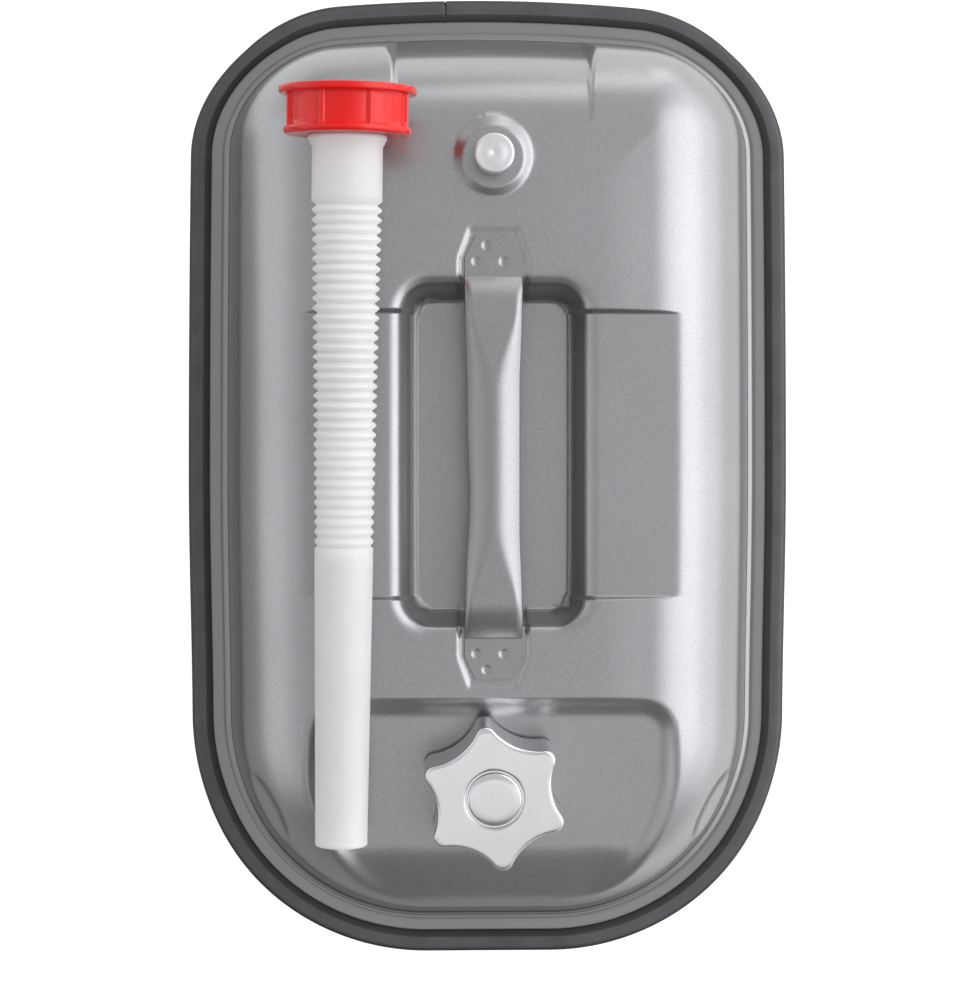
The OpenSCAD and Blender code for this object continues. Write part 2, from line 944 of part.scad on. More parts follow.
// The folded outline of the bellows: a fold, a rib and the next fold, from end to end
function fold_line(inward) = [
    for (i = [0 : 2 * bellows_ribs])
        [rib_r(i / (2 * bellows_ribs)) - (i % 2 == 0 ? bellows_fold : 0) - inward,
         bellows_z + i * bellows_pitch / 2]
];

module spout_bellows() {
    outer = fold_line(0);
    inner = fold_line(bellows_wall);
    color("white")
        at_spout()
            rotate_extrude()
                polygon(concat(outer, [for (i = [len(inner) - 1 : -1 : 0]) inner[i]]));
}

module spout_tip() {
    start_r = bellows_end_d / 2;
    end_r = tip_end_d / 2;
    color("white")
        at_spout()
            rotate_extrude()
                polygon([
                    [start_r - bellows_wall - bellows_fold, tip_z],
                    [start_r, tip_z],
                    [end_r, spout_l],
                    [end_r - tube_wall, spout_l],
                    [start_r - tube_wall, tip_z + tube_wall + bellows_fold]
                ]);
}

front_shell();
back_shell();
rim_trim();
handle();
filler_neck();
cap_star();
cap_thread_cup();
cap_disc();
cap_gasket();
cap_slip_washer();
vent_boss();
vent_stem();
vent_knob();
vent_o_ring();
vent_clip();
spout_collar();
spout_neck();
spout_gasket();
spout_bellows();
spout_tip();
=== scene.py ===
"""Looks of a flat fuel can with a loose pouring spout, built round its packed solids."""

import contextlib
import json
import math

import bmesh
import bpy
import numpy as np
from mathutils import Matrix, Vector


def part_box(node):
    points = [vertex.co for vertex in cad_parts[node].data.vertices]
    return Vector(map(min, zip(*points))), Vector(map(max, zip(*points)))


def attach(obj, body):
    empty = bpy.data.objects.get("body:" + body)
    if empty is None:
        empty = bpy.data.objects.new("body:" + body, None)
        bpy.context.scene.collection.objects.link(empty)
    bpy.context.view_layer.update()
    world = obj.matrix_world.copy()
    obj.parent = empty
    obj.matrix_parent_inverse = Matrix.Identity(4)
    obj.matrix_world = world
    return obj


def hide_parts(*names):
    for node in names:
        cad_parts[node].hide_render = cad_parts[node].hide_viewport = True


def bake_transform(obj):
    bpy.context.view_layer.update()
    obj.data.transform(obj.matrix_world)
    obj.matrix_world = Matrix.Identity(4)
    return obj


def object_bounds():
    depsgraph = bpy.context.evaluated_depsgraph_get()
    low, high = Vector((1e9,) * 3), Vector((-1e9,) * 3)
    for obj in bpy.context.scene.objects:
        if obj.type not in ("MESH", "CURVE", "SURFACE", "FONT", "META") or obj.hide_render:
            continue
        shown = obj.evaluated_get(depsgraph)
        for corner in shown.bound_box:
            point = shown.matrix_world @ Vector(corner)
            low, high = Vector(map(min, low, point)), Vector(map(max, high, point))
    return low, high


bl_info = {
    "name": "Flat Fuel Can",
    "version": (1, 0, 0),
    "blender": (4, 5, 0),
    "location": "3D View > Sidebar > Fuel Can",
    "description": "Dresses the pressed can, its trim, handle, cap, vent and pouring spout",
    "category": "Object",
}

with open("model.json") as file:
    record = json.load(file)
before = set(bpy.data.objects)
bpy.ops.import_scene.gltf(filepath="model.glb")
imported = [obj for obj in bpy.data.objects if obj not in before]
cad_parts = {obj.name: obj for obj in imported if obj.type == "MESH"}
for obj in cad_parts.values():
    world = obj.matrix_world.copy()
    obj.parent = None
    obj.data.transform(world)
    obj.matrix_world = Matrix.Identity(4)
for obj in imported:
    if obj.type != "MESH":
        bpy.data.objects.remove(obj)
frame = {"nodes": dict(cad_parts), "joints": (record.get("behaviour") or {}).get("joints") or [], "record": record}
CAD_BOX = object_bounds()
JOINTS = {joint["name"]: joint for joint in frame["joints"]}


# Settings that a user can change

def amount(value, name, text, **kind):
    """A plain number."""
    return bpy.props.FloatProperty(name=name, description=text, default=value, **kind)


def length(millimetres, name, text):
    """A length, given in millimetres."""
    return amount(millimetres / 1000, name, text, unit="LENGTH", precision=5)


def angle(degrees, name, text):
    """An angle, given in degrees."""
    return amount(math.radians(degrees), name, text, subtype="ANGLE")


def share(value, name, text):
    """A share from 0 to 1."""
    return amount(value, name, text, min=0, max=1, subtype="FACTOR")


def count(value, name, text):
    """A whole number."""
    return bpy.props.IntProperty(name=name, description=text, default=value, min=1)


def several(values, name, text, **kind):
    """A row of numbers."""
    return bpy.props.FloatVectorProperty(
        name=name, description=text, default=values, size=len(values), **kind
    )


def colour(red, green, blue, name, text):
    """A colour."""
    return several((red, green, blue, 1), name, text, min=0, max=1, subtype="COLOR")


class PressingSizes(bpy.types.PropertyGroup):
    """Sizes of the two pressed halves."""

    sheet: length(1, "Sheet", "Thickness of the sheet steel")
    seam_w: length(22, "Seam width", "From the outside of the trim to the foot of the walls")
    flange_inset: length(3.2, "Flange inset", "From the outside of the trim to the flange's edge")
    vent_corner_r: length(84, "Vent corner", "Outer corner radius at the vent end")
    cap_corner_r: length(135, "Cap corner", "Outer corner radius at the cap end")
    shoulder_r: length(55, "Shoulder", "Radius between the walls and the face")
    crown: length(1.6, "Crown", "Fall of the face before its shoulders")
    weld_depth: length(0.5, "Weld track", "Depth of the rolled weld track on the flange")
    root_r: length(2.4, "Root", "Rounding where the walls meet the flange")
    front_step: length(2, "Front mesh", "Spacing of the front half's mesh lines")
    back_step: length(1.7, "Back mesh", "Spacing of the back half's mesh lines")
    slot_half_w: length(53, "Slot half width", "Half width of the slot at the vent end")
    slot_draft: angle(20.5, "Slot draft", "Lean of the slot's end wall")
    slot_steep: amount(3.2, "Slot steepness", "Rise over run of the slot's side walls")
    recess_y: length(10.8, "Recess middle", "Middle of the handle well along the can")
    recess_w: length(154, "Side recess", "Width of the shallow recess beside the well")
    recess_depth: length(3.75, "Side recess depth", "Depth of the shallow recess")
    well_w: length(114, "Well width", "Width of the handle well at the face")
    well_l: length(199, "Well length", "Length of the handle well at the face")
    well_depth: length(26, "Well depth", "Depth of the handle well")
    well_r: length(24, "Well corner", "Corner radius of the well at the face")
    well_rim: length(7.5, "Well rim", "Width in plan of the rounded rim of the well")
    well_rim_r: length(10.2, "Well rim radius", "Radius of the rounded rim of the well")
    well_slope: angle(17, "Well slope", "Lean of the well's walls")
    step_y: length(-118, "Cap step", "Place of the step of the cap recess along the can")
    step_r: length(22, "Cap step corner", "Corner radius of the cap recess at its step")
    end_r: length(88, "Cap recess end", "Corner radius of the cap recess at the cap end")
    cap_recess_w: length(206, "Cap recess width", "Width of the cap recess")
    cap_wall_w: length(7.5, "Cap recess wall", "Width in plan of the sloped wall of the cap recess")
    scoop_depth: length(2.5, "Scoop depth", "Depth of the flat scoops on the corners")
    scoop_turn: angle(28, "Scoop turn", "Direction of the scoops in plan")
    scoop_tilt: angle(66, "Scoop tilt", "Steepness of the scoops")
    scoop_lip: length(5.5, "Scoop lip", "Drop of the crisp inner edge of the scoops")
    ring_d: length(41.6, "Ring foot", "Diameter of the raised ring at its foot")
    ring_flat_d: length(33, "Ring flat", "Diameter of the flat on the raised ring")
    ring_h: length(3, "Ring height", "Height of the raised ring")
    panel_w: length(136, "Back panel width", "Width of the recessed back panel")
    panel_l: length(326, "Back panel length", "Length of the recessed back panel")
    panel_depth: length(5, "Back panel depth", "Depth of the recessed back panel")
    panel_r: length(24, "Back panel corner", "Corner radius of the back panel")
    bead_w: length(22, "Bead width", "Width of the crossed stiffening beads")
    bead_h: length(3, "Bead height", "Height of the crossed stiffening beads")


class TrimSizes(bpy.types.PropertyGroup):
    """Sizes of the rubber trim on the seam."""

    width: length(12, "Width", "Width of the trim")
    height: length(9, "Height", "Thickness of the trim")
    back: length(3, "Back", "Rubber outside the bottom of the slot")
    lip: length(2.7, "Lip", "Height of the lips over the middle of the seam")
    butt_x: length(-25, "Butt joint", "Place of the butt joint across the can")
    step: length(4, "Mesh", "Spacing of the trim's sections")


class HandleSizes(bpy.types.PropertyGroup):
    """Sizes of the strap handle."""

    middle_y: length(9.2, "Middle", "Middle of the strap along the can")
    span: length(190, "Span", "Distance between the two bends")
    ramp: length(26, "Ramp", "Length of the rise from a tab to the strap")
    top: length(10, "Rise", "Height of the strap's top over the face")
    seat: length(1.5, "Seat", "Depth of the seats that the tabs lie in")
    seat_margin: length(4, "Seat margin", "Bare margin of a seat round its tab")
    thickness: length(2, "Thickness", "Thickness of the strap")
    width: length(30.6, "Width", "Width of the strap at its ends")
    waist: length(28, "Waist", "Width of the strap in its middle")
    end_crown: length(2.2, "End crown", "Drop of the rolled edges near the tabs")
    crown: length(5.4, "Crown", "Drop of the rolled edges in the middle")
    tab_l: length(24, "Tab length", "Length of each welded tab")
    tab_end_w: length(19, "Tab end", "Width of a tab at its outer end")
    weld_d: length(5, "Weld", "Diameter of a spot weld's dimple")
    weld_depth: length(0.7, "Weld depth", "Depth of a spot weld's dimple")


class CapSizes(bpy.types.PropertyGroup):
    """Sizes of the star cap, along the axis of the filler neck."""

    lobes: count(6, "Lobes", "Number of lobes")
    turn: angle(98, "Turn", "Direction of the first lobe")
    tip_r: length(39.4, "Tip radius", "Distance of the lobes' tips from the axis")
    tip_round: length(5.6, "Tip rounding", "Rounding of a lobe's tip")
    valley_r: length(30.7, "Valley radius", "Distance of the valleys from the axis")
    low: length(3, "Rim", "Height of the rim over the recess floor")
    high: length(31.45, "Top", "Height of the top over the recess floor")
    bevel: length(2, "Bevel", "Rounding of the upper edge")
    cup_d: length(56.1, "Cup", "Diameter of the hole for the threaded cup")
    roof: length(27.45, "Roof", "Height of the inner roof over the recess floor")
    seat_d: length(31.4, "Disc seat", "Diameter of the seat of the centre disc")
    seat_depth: length(1.6, "Seat depth", "Depth of the seat of the centre disc")
    disc_d: length(28.8, "Disc", "Diameter of the centre disc")


class VentSizes(bpy.types.PropertyGroup):
    """Sizes of the turned vent knob, from the face of the can."""

    knob_d: length(21, "Diameter", "Diameter of the knob")
    low: length(3.6, "Foot", "Height of the knob's foot over the face")
    high: length(19.6, "Top", "Height of the knob's top over the face")
    cavity_d: length(14.2, "Cavity", "Diameter of the hollow over the bush")
    cavity_top: length(7.4, "Cavity roof", "Height of the hollow's roof over the face")
    stem_d: length(8.1, "Screw hole", "Diameter of the hole for the screw")
    stem_top: length(16.65, "Screw hole end", "Height of the screw hole's end over the face")
    dish: length(0.7, "Cone", "Height of the shallow cone turned on the top")
    knurls: count(40, "Knurls", "Number of grip flutes round the knob")


class SpoutSizes(bpy.types.PropertyGroup):
    """Sizes of the pouring spout, from the mouth of its collar."""

    rim_d: length(72, "Rim", "Diameter of the collar's rim")
    rim_l: length(4, "Rim length", "Length of the collar's rim")
    collar_d: length(67, "Collar", "Diameter of the collar over its ribs")
    collar_l: length(25, "Collar length", "Length of the collar")
    band_l: length(3.4, "Band", "Length of the plain band under the ribs")
    ribs: count(8, "Ribs", "Number of grip ribs")
    rib_w: length(2.3, "Rib width", "Width of a grip rib")
    rib_h: length(1.6, "Rib height", "Height of a grip rib")
    bore_d: length(52, "Bore", "Bore of the collar's thread")
    thread_l: length(16.2, "Thread length", "Depth of the collar's thread")
    thread_h: length(0.9, "Thread height", "Height of the thread in the collar")
    thread_pitch: length(4, "Thread pitch", "Distance from turn to turn of the thread")
    seat_d: length(50.8, "Gasket seat", "Bore of the collar round the gasket")
    floor_l: length(21, "Collar floor", "Distance of the collar's floor from its mouth")
    hole_d: length(37.6, "Collar hole", "Diameter of the hole that the tube turns in")
    flange_z: length(18.7, "Flange", "Distance of the tube's inner flange from the mouth")
    flange_t: length(2, "Flange thickness", "Thickness of the tube's inner flange")
    flange_d: length(50.2, "Flange diameter", "Diameter of the tube's inner flange")
    bead_z: length(25.3, "Bead", "Start of the bead that holds the collar")
    bead_l: length(5.5, "Bead length", "Length of the bead")
    bead_d: length(41.5, "Bead diameter", "Diameter of the bead")
    tube_d: length(37, "Tube", "Diameter of the plain tube")
    wall: length(1.8, "Wall", "Wall of the tube")
    bellows_z: length(61.3, "Bellows", "Start of the bellows")
    pitch: length(5.1, "Pitch", "Length from fold to fold")
    folds: count(35, "Folds", "Number of folds in the bellows")
    fold: length(2.6, "Fold depth", "Depth of the folds")
    bellows_end_d: length(31, "Bellows end", "Diameter over the last fold")
    tip_l: length(159, "Tip", "Length of the tip past the bellows")
    tip_end_d: length(27.6, "Tip end", "Diameter of the tip's mouth")


class CanFinishes(bpy.types.PropertyGroup):
    """Colours and gloss of the surfaces."""

    steel: colour(0.345, 0.345, 0.352, "Steel paint", "Satin silver paint of the pressed halves")
    steel_rough: share(0.31, "Steel roughness", "Roughness of the silver paint")
    rubber: colour(0.055, 0.052, 0.057, "Trim rubber", "Black rubber of the seam trim")
    zinc: colour(0.55, 0.55, 0.54, "Zinc", "Zinc plate of the neck, the cup and the vent parts")
    chrome: colour(0.67, 0.67, 0.68, "Chrome", "Chrome of the cap and the vent knob")
    chrome_rough: share(0.1, "Chrome roughness", "Roughness of the chrome")
    seal: colour(0.03, 0.03, 0.03, "Seals", "Black rubber of the seals")
    washer: colour(0.7, 0.7, 0.66, "Washer", "Plastic of the slip washer")
    red: colour(0.72, 0.004, 0.002, "Red plastic", "Glossy red plastic of the collar")
    milk: colour(0.925, 0.93, 0.94, "Milky plastic", "Translucent plastic of the spout")


class StageSettings(bpy.types.PropertyGroup):
    """Camera, floor and light."""

    camera: several((-0.045, -0.0085, 1.476), "Camera", "Place of the camera", unit="LENGTH")
    target: several((0.00085, -0.0085, 0.082), "Target", "Point looked at", unit="LENGTH")
    lens: amount(89.9, "Lens", "Focal length in millimetres")
    sky: colour(0.7, 0.707, 0.72, "Surroundings", "Even light of the studio")
    sky_right: amount(2.0, "Right side", "Extra light from the right, as a share of the surroundings")
    sky_left: amount(0.45, "Left side", "Extra light from the left, as a share of the surroundings")
    sky_dark: share(0.36, "Dark side", "Share of the light that comes from past the cap end")
    floor: colour(0.42, 0.42, 0.42, "Floor", "Colour of the floor")
    floor_white: amount(0.88, "Floor glow", "White that the floor shows to the camera")
    floor_side: share(0.9, "Floor at the right", "Share of the white in reflections, at the right")
    floor_far: share(0.95, "Floor past the vent", "Share of the white in reflections, past the vent")
    key: amount(4, "Key light", "Power of the bright strip on the right")
    left: amount(1.2, "Left light", "Power of the soft light on the left")
    top: amount(1.6, "Top light", "Power of the soft light past the vent end")
    over: amount(0.5, "Overhead light", "Power of the soft light over the cap end")


GROUPS = {
    "can_pressing": PressingSizes,
    "can_trim": TrimSizes,
    "can_handle": HandleSizes,
    "can_cap": CapSizes,
    "can_vent": VentSizes,
    "can_spout": SpoutSizes,
    "can_finish": CanFinishes,
    "can_stage": StageSettings,
}


# Widths over which the creases of the pressed features are rounded, in metres
CREASE = {
    "slot": 0.003,
    "scoop": 0.0012,
    "side": 0.0007,
    "cap": 0.0028,
    "runout": 0.022,
    "seat": 0.0009,
    "well": 0.009,
    "ring": 0.0005,
    "panel": 0.004,
    "bead": 0.006,
}


# Shapes in plain numbers

def smooth_min(first, second, width):
    """The lower of two heights, with the crease between them rounded over a width."""
    mix = np.clip(0.5 + 0.5 * (second - first) / width, 0, 1)
    return second + (first - second) * mix - width * mix * (1 - mix)


def smooth_max(first, second, width):
    """The higher of two heights, with the crease between them rounded over a width."""
    return -smooth_min(-first, -second, width)


def smooth_step(t):
    """0 to 1 with level ends."""
    t = np.clip(t, 0, 1)
    return t * t * (3 - 2 * t)


def rounded_box(x, y, half_w, half_l, radius):
    """Distance outside a rounded rectangle, negative inside."""
    dx = np.abs(x) - half_w + radius
    dy = np.abs(y) - half_l + radius
    outside = np.hypot(np.maximum(dx, 0), np.maximum(dy, 0))
    return outside + np.minimum(np.maximum(dx, dy), 0) - radius


def both(middle, away, reach, fine):
    """Places for finer mesh lines on both sides of a middle."""
    return [(middle - away, reach, fine), (middle + away, reach, fine)]


def graded_lines(half, step, places, multiple):
    """Line positions from -half to half, closer together near the given places."""
    t = np.linspace(-half, half, 6001)
    density = np.full_like(t, 1 / step)
    for centre, reach, fine in places:
        density = np.maximum(density, np.where(np.abs(t - centre) < reach, 1 / fine, 0))
    total = np.concatenate([[0], np.cumsum((density[1:] + density[:-1]) / 2 * np.diff(t))])
    number = int(math.ceil(total[-1] / multiple)) * multiple
    return np.interp(np.linspace(0, total[-1], number + 1), total, t)


def rounded_loop(corners, steps=4):
    """A closed outline whose corners, given as place and radius, are rounded."""
    points = []
    for i, (x, y, radius) in enumerate(corners):
        here = Vector((x, y))
        before = Vector(corners[i - 1][:2]) - here
        after = Vector(corners[(i + 1) % len(corners)][:2]) - here
        half = before.angle(after) / 2
        reach = min(radius / math.tan(half), 0.49 * before.length, 0.49 * after.length)
        start = here + before.normalized() * reach
        end = here + after.normalized() * reach
        for k in range(steps + 1):
            t = k / steps
            bend = start * (1 - t) ** 2 + here * 2 * t * (1 - t) + end * t**2
            points.append((bend.x, bend.y))
    return points


def standing(origin, x, z):
    """A frame at a point, with its X and Z given."""
    turn = Matrix((x, z.cross(x), z)).transposed()
    return Matrix.Translation(Vector(origin)) @ turn.to_4x4()


def axis_place(origin, axis):
    """A frame at a point, with Z along an axis and X as close as it can be to the can's X."""
    z = Vector(axis).normalized()
    x = Vector((1, 0, 0))
    return standing(origin, (x - z * x.dot(z)).normalized(), z)


def spout_place():
    """The frame of the spout: its origin is the collar's mouth and Z runs to the tip."""
    joint = JOINTS["collar_spin"]
    return axis_place(joint["pos_m"], -Vector(joint["axis"]))


def grid_faces(rows, columns, closed=False):
    """The quads of rows of points that each close on themselves; the last may meet the first."""
    faces = []
    for row in range(rows if closed else rows - 1):
        below = row * columns
        above = (row + 1) % rows * columns
        for column in range(columns):
            beside = (column + 1) % columns
            faces.append((below + column, below + beside, above + beside, above + column))
    return faces


def around(radius, height, *offsets):
    """Points of a turned outline at offsets from a corner of it, in tenths of a millimetre."""
    return [(radius + out / 10000, height + up / 10000) for out, up in offsets]


def even_angles(number):
    """Angles spread evenly round a turn."""
    return np.arange(number) * 2 * math.pi / number


def finish_name(slot):
    """The name of the material that dresses a slot."""
    return slot + "_finish"


def new_object(data):
    """A mesh, a camera or a light as an object of the scene."""
    thing = bpy.data.objects.new(data.name, data)
    bpy.context.scene.collection.objects.link(thing)
    return thing


@contextlib.contextmanager
def mesh_work(mesh):
    """A mesh opened for editing, and written back and smoothed at the end."""
    work = bmesh.new()
    work.from_mesh(mesh)
    yield work
    work.to_mesh(mesh)
    work.free()
    mesh.shade_smooth()


def make_piece(name, slot, points, faces, nodes, body=None, sharp=None):
    """A mesh piece in the row frame, which stands for CAD nodes and moves with a body."""
    mesh = bpy.data.meshes.new(name)
    mesh.from_pydata(points.tolist(), [], faces)
    if sharp:
        with mesh_work(mesh) as work:
            bmesh.ops.remove_doubles(work, verts=work.verts, dist=2e-6)
            bmesh.ops.dissolve_degenerate(work, edges=work.edges, dist=1e-7)
            bmesh.ops.recalc_face_normals(work, faces=work.faces)
        mesh.set_sharp_from_angle(angle=math.radians(sharp))
    piece = new_object(mesh)
    mesh.materials.append(bpy.data.materials[finish_name(slot)])
    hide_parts(*nodes)
    if body:
        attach(piece, body)
    return piece


def turned_piece(name, slot, rows, angles, place, nodes, body, sharp, closed=False):
    """A turned piece whose rows are a radius and a height, plain or one for each angle."""
    points = []
    for radius, height in rows:
        radius = np.broadcast_to(radius, angles.shape)
        height = np.broadcast_to(height, angles.shape)
        points.append(np.stack([radius * np.cos(angles), radius * np.sin(angles), height], axis=1))
    matrix = np.array(place)
    points = np.concatenate(points) @ matrix[:3, :3].T + matrix[:3, 3]
    faces = grid_faces(len(rows), len(angles), closed)
    return make_piece(name, slot, points, faces, nodes, body, sharp)


class Pressing:
    """The pressed halves of the can as heights over the seam."""

    # Rings of the mesh across the flange, as shares of its width, and those that the inner face has
    FLANGE_RINGS = np.array([0.03, 0.06, 0.09, 0.12, 0.15, 0.18, 0.22, 0.28, 0.6, 1.0])
    INNER_RINGS = [4, 7, 9]
    # Rise over run of the walls of the side recess, the cap recess and the handle's seats
    SIDE_SLOPE = 1.7
    CAP_SLOPE = 1.1
    SEAT_SLOPE = 1.1
    # Bow of the outline: shares by which the sides draw in at each end, and the vent end's curve
    VENT_DRAW = 0.007
    CAP_DRAW = 0.013
    VENT_CURVE = 0.5

    def __init__(self, scene):
        s = self.sizes = scene.can_pressing
        self.handle = scene.can_handle
        low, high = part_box("rim_trim")
        self.half_l = high.y
        self.seam_z = (low.z + high.z) / 2
        self.rise = self.seam_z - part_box("back_shell")[0].z
        self.foot_w = high.x - s.seam_w
        self.foot_l = high.y - s.seam_w
        self.ends = []
        for end, corner in ((1, s.vent_corner_r), (-1, s.cap_corner_r)):
            centre = (high.x - corner, high.y - corner)
            self.ends.append((end, centre, corner - s.seam_w))
        self.reach = self.ends[0][2]
        self.arc_z = self.rise - s.shoulder_r
        lean = math.atan2(self.arc_z, self.reach)
        self.draft = math.acos(s.shoulder_r / math.hypot(self.reach, self.arc_z)) - lean
        self.neck = Vector(JOINTS["cap_turn"]["pos_m"])
        self.neck_axis = Vector(JOINTS["cap_turn"]["axis"])
        self.vent = Vector(JOINTS["vent_turn"]["pos_m"])

    def corners(self, x, y):
        """For each end: its sign, its corner's radius, offsets from the centre, and where it holds."""
        for end, centre, radius in self.ends:
            across = np.abs(x) - centre[0]
            along = end * y - centre[1]
            yield end, centre, radius, across, along, (across > 0) & (along > 0)

    def inset(self, x, y):
        """Distance in plan from the foot of the walls inwards."""
        inset = np.minimum(self.foot_w - np.abs(x), self.foot_l - np.abs(y))
        for _, _, radius, across, along, corner in self.corners(x, y):
            inset = np.where(corner, radius - np.hypot(across, along), inset)
        return inset

    def wall(self, inset, draft, reach):
        """Height of a leaning wall and its rounded shoulder at an inset."""
        radius = self.sizes.shoulder_r
        across = np.clip(reach - inset, 0, radius)
        arc = self.arc_z + np.sqrt(radius**2 - across**2)
        return np.where(inset < reach - radius * math.cos(draft), inset / math.tan(draft), arc)

    def dome(self, x, y):
        """Height of the plain pressing, whose face falls away a little before its shoulders."""
        fall_start, fall_run, edge_run = 0.09, 0.045, 0.03
        inset = self.inset(x, y)
        fall = smooth_step((fall_start - inset) / fall_run) * smooth_step(inset / edge_run)
        return self.wall(inset, self.draft, self.reach) - self.sizes.crown * fall

    def slot(self, x, y):
        """Height of the slot between the corners at the vent end, and the rounding of its edge."""
        s = self.sizes
        draft = s.slot_draft
        reach = self.arc_z * math.tan(draft) + s.shoulder_r / math.cos(draft)
        side = np.maximum(np.abs(x) - s.slot_half_w, 0) * s.slot_steep
        inset = self.foot_l - y
        rounding = CREASE["slot"] * smooth_step((reach - inset) / 0.03) + 1e-6
        return self.wall(inset, draft, reach) + side, rounding

    def cap_recess(self, x, y):
        """Height of the cap recess, with its tilted floor and its sloped wall."""
        s = self.sizes
        half = s.cap_recess_w / 2
        tilt = -self.neck_axis.y / self.neck_axis.z
        floor = self.neck.z - self.seam_z + (y - self.neck.y) * tilt
        upper = rounded_box(x, y - s.step_y + self.half_l, half, self.half_l, s.step_r)
        across = np.maximum(np.abs(x) - half + s.end_r, 0)
        along = np.maximum(0.002 - self.foot_l + s.end_r - y, 0)
        outside = np.maximum(upper, np.hypot(across, along) - s.end_r)
        climb = smooth_max(outside + s.cap_wall_w, 0, 0.005)
        return floor + climb * self.CAP_SLOPE

    def scoop(self, x, y):
        """Height of the flat scoops on the corners at the cap end."""
        s = self.sizes
        _, corner, radius = self.ends[1]
        out = Vector((math.cos(s.scoop_turn), -math.sin(s.scoop_turn)))
        normal = Vector((*(out * math.sin(s.scoop_tilt)), math.cos(s.scoop_tilt)))
        centre = Vector((corner[0], -corner[1])) + out * (radius - self.reach)
        level = Vector((*centre, self.arc_z)).dot(normal) + s.shoulder_r - s.scoop_depth
        plane = (level - normal.x * np.abs(x) - normal.y * y) / normal.z
        lip_start, lip_run, lip_round = 0.007, 0.01, 0.0045
        lip = s.scoop_lip * smooth_step((self.inset(x, y) - lip_start) / lip_run)
        return plane - lip * smooth_step((self.dome(x, y) - plane) / lip_round)

    def well(self, x, y, face):
        """Height of the handle well, whose rounded rim falls away from the face."""
        s = self.sizes
        inside = -rounded_box(x, y - s.recess_y, s.well_w / 2, s.well_l / 2, s.well_r)
        rim = s.well_rim_r - np.sqrt(s.well_rim_r**2 - np.clip(inside, 0, s.well_rim) ** 2)
        wall = face - rim - np.maximum(inside - s.well_rim, 0) / math.tan(s.well_slope)
        floor = smooth_max(wall, self.rise - s.well_depth, CREASE["well"])
        return np.where(inside > 0, floor, face)

    def side_recess(self, y):
        """Height of the shallow recess across the can."""
        s = self.sizes
        outside = np.abs(y - s.recess_y) - s.recess_w / 2
        return self.rise - s.recess_depth + np.maximum(outside + 0.001, 0) * self.SIDE_SLOPE

    def seats(self, x, y):
        """Height of the seats of the handle's tabs."""
        h = self.handle
        away = np.abs(y - h.middle_y) - h.span / 2
        half = h.width / 2 + h.seat_margin
        end = h.tab_l + h.seat_margin
        narrow = h.tab_end_w / 2 + h.seat_margin
        slant = Vector((end - h.tab_l / 2, half - narrow)).normalized()
        taper = (np.abs(x) - half) * slant.x + (away - h.tab_l / 2) * slant.y
        outside = np.maximum(np.maximum(np.abs(x) - half, away - end), taper)
        return self.rise - h.seat + np.maximum(outside + 0.0015, 0) * self.SEAT_SLOPE

    def ring(self, x, y):
        """Height of the raised ring round the vent."""
        s = self.sizes
        away = np.hypot(x, y - self.vent.y)
        slope = 2 * s.ring_h / (s.ring_d - s.ring_flat_d)
        drop = np.maximum(away - s.ring_flat_d / 2, 0) * slope
        return self.rise + s.ring_h - drop - np.maximum(away - s.ring_d * 0.55, 0) * 20

    def front(self, x, y):
        """Height of the front half with its pressed features."""
        height = smooth_min(self.dome(x, y), *self.slot(x, y))
        height = smooth_min(height, self.scoop(x, y), CREASE["scoop"])
        height = smooth_min(height, self.side_recess(y), CREASE["side"])
        runout_y, runout_half_w = 0.18, 0.1
        runout = smooth_step((-y - runout_y) / 0.045)
        runout = runout * smooth_step((runout_half_w - np.abs(x)) / 0.05)
        crease = CREASE["cap"] + CREASE["runout"] * runout
        height = smooth_min(height, self.cap_recess(x, y), crease)
        height = smooth_min(height, self.seats(x, y), CREASE["seat"])
        height = self.well(x, y, height)
        return smooth_max(height, self.ring(x, y), CREASE["ring"])

    def back(self, x, y):
        """Height of the back half with its panel and crossed beads."""
        s = self.sizes
        outside = rounded_box(x, y, s.panel_w / 2, s.panel_l / 2, s.panel_r)
        floor = self.rise - s.panel_depth
        turn = math.atan2(s.panel_l, s.panel_w)
        for lean in (turn, -turn):
            across = np.abs(y * math.cos(lean) - x * math.sin(lean)) - s.bead_w / 2
            side = smooth_max(across + 0.003, 0, CREASE["panel"])
            bead = self.rise - s.panel_depth + s.bead_h - side
            floor = smooth_max(floor, bead, CREASE["bead"])
        panel = smooth_max(self.rise + outside, floor, CREASE["panel"])
        return smooth_min(self.dome(x, y), panel, CREASE["panel"])

    def bowed(self, points, up=1):
        """Points with the slight bow of the real outline: sides drawn in and a rounded vent end."""
        x, y, z = points.T
        vent = self.VENT_DRAW * np.clip(y / 0.185, 0, 1.3) ** 2
        cap = self.CAP_DRAW * smooth_step(-y / 0.15) * (1 - smooth_step((-y - 0.17) / 0.085))
        sink = self.VENT_CURVE * x**2 * np.clip((y - 0.1) / 0.15, 0, 1) ** 2
        return np.stack([x * (1 - vent - cap), y - sink, self.seam_z + up * z], axis=1)

    def plan(self, px, py):
        """Moves a rectangle's points so that its corners become the round ones of the foot."""
        x, y = np.abs(px), py.copy()
        for end, centre, radius, across, along, corner in self.corners(px, py):
            a = np.clip(across / radius, 0, 1)
            b = np.clip(along / radius, 0, 1)
            x = np.where(corner, centre[0] + radius * a * np.sqrt(1 - b**2 / 2), x)
            y = np.where(corner, end * (centre[1] + radius * b * np.sqrt(1 - a**2 / 2)), y)
        return np.sign(px) * x, y

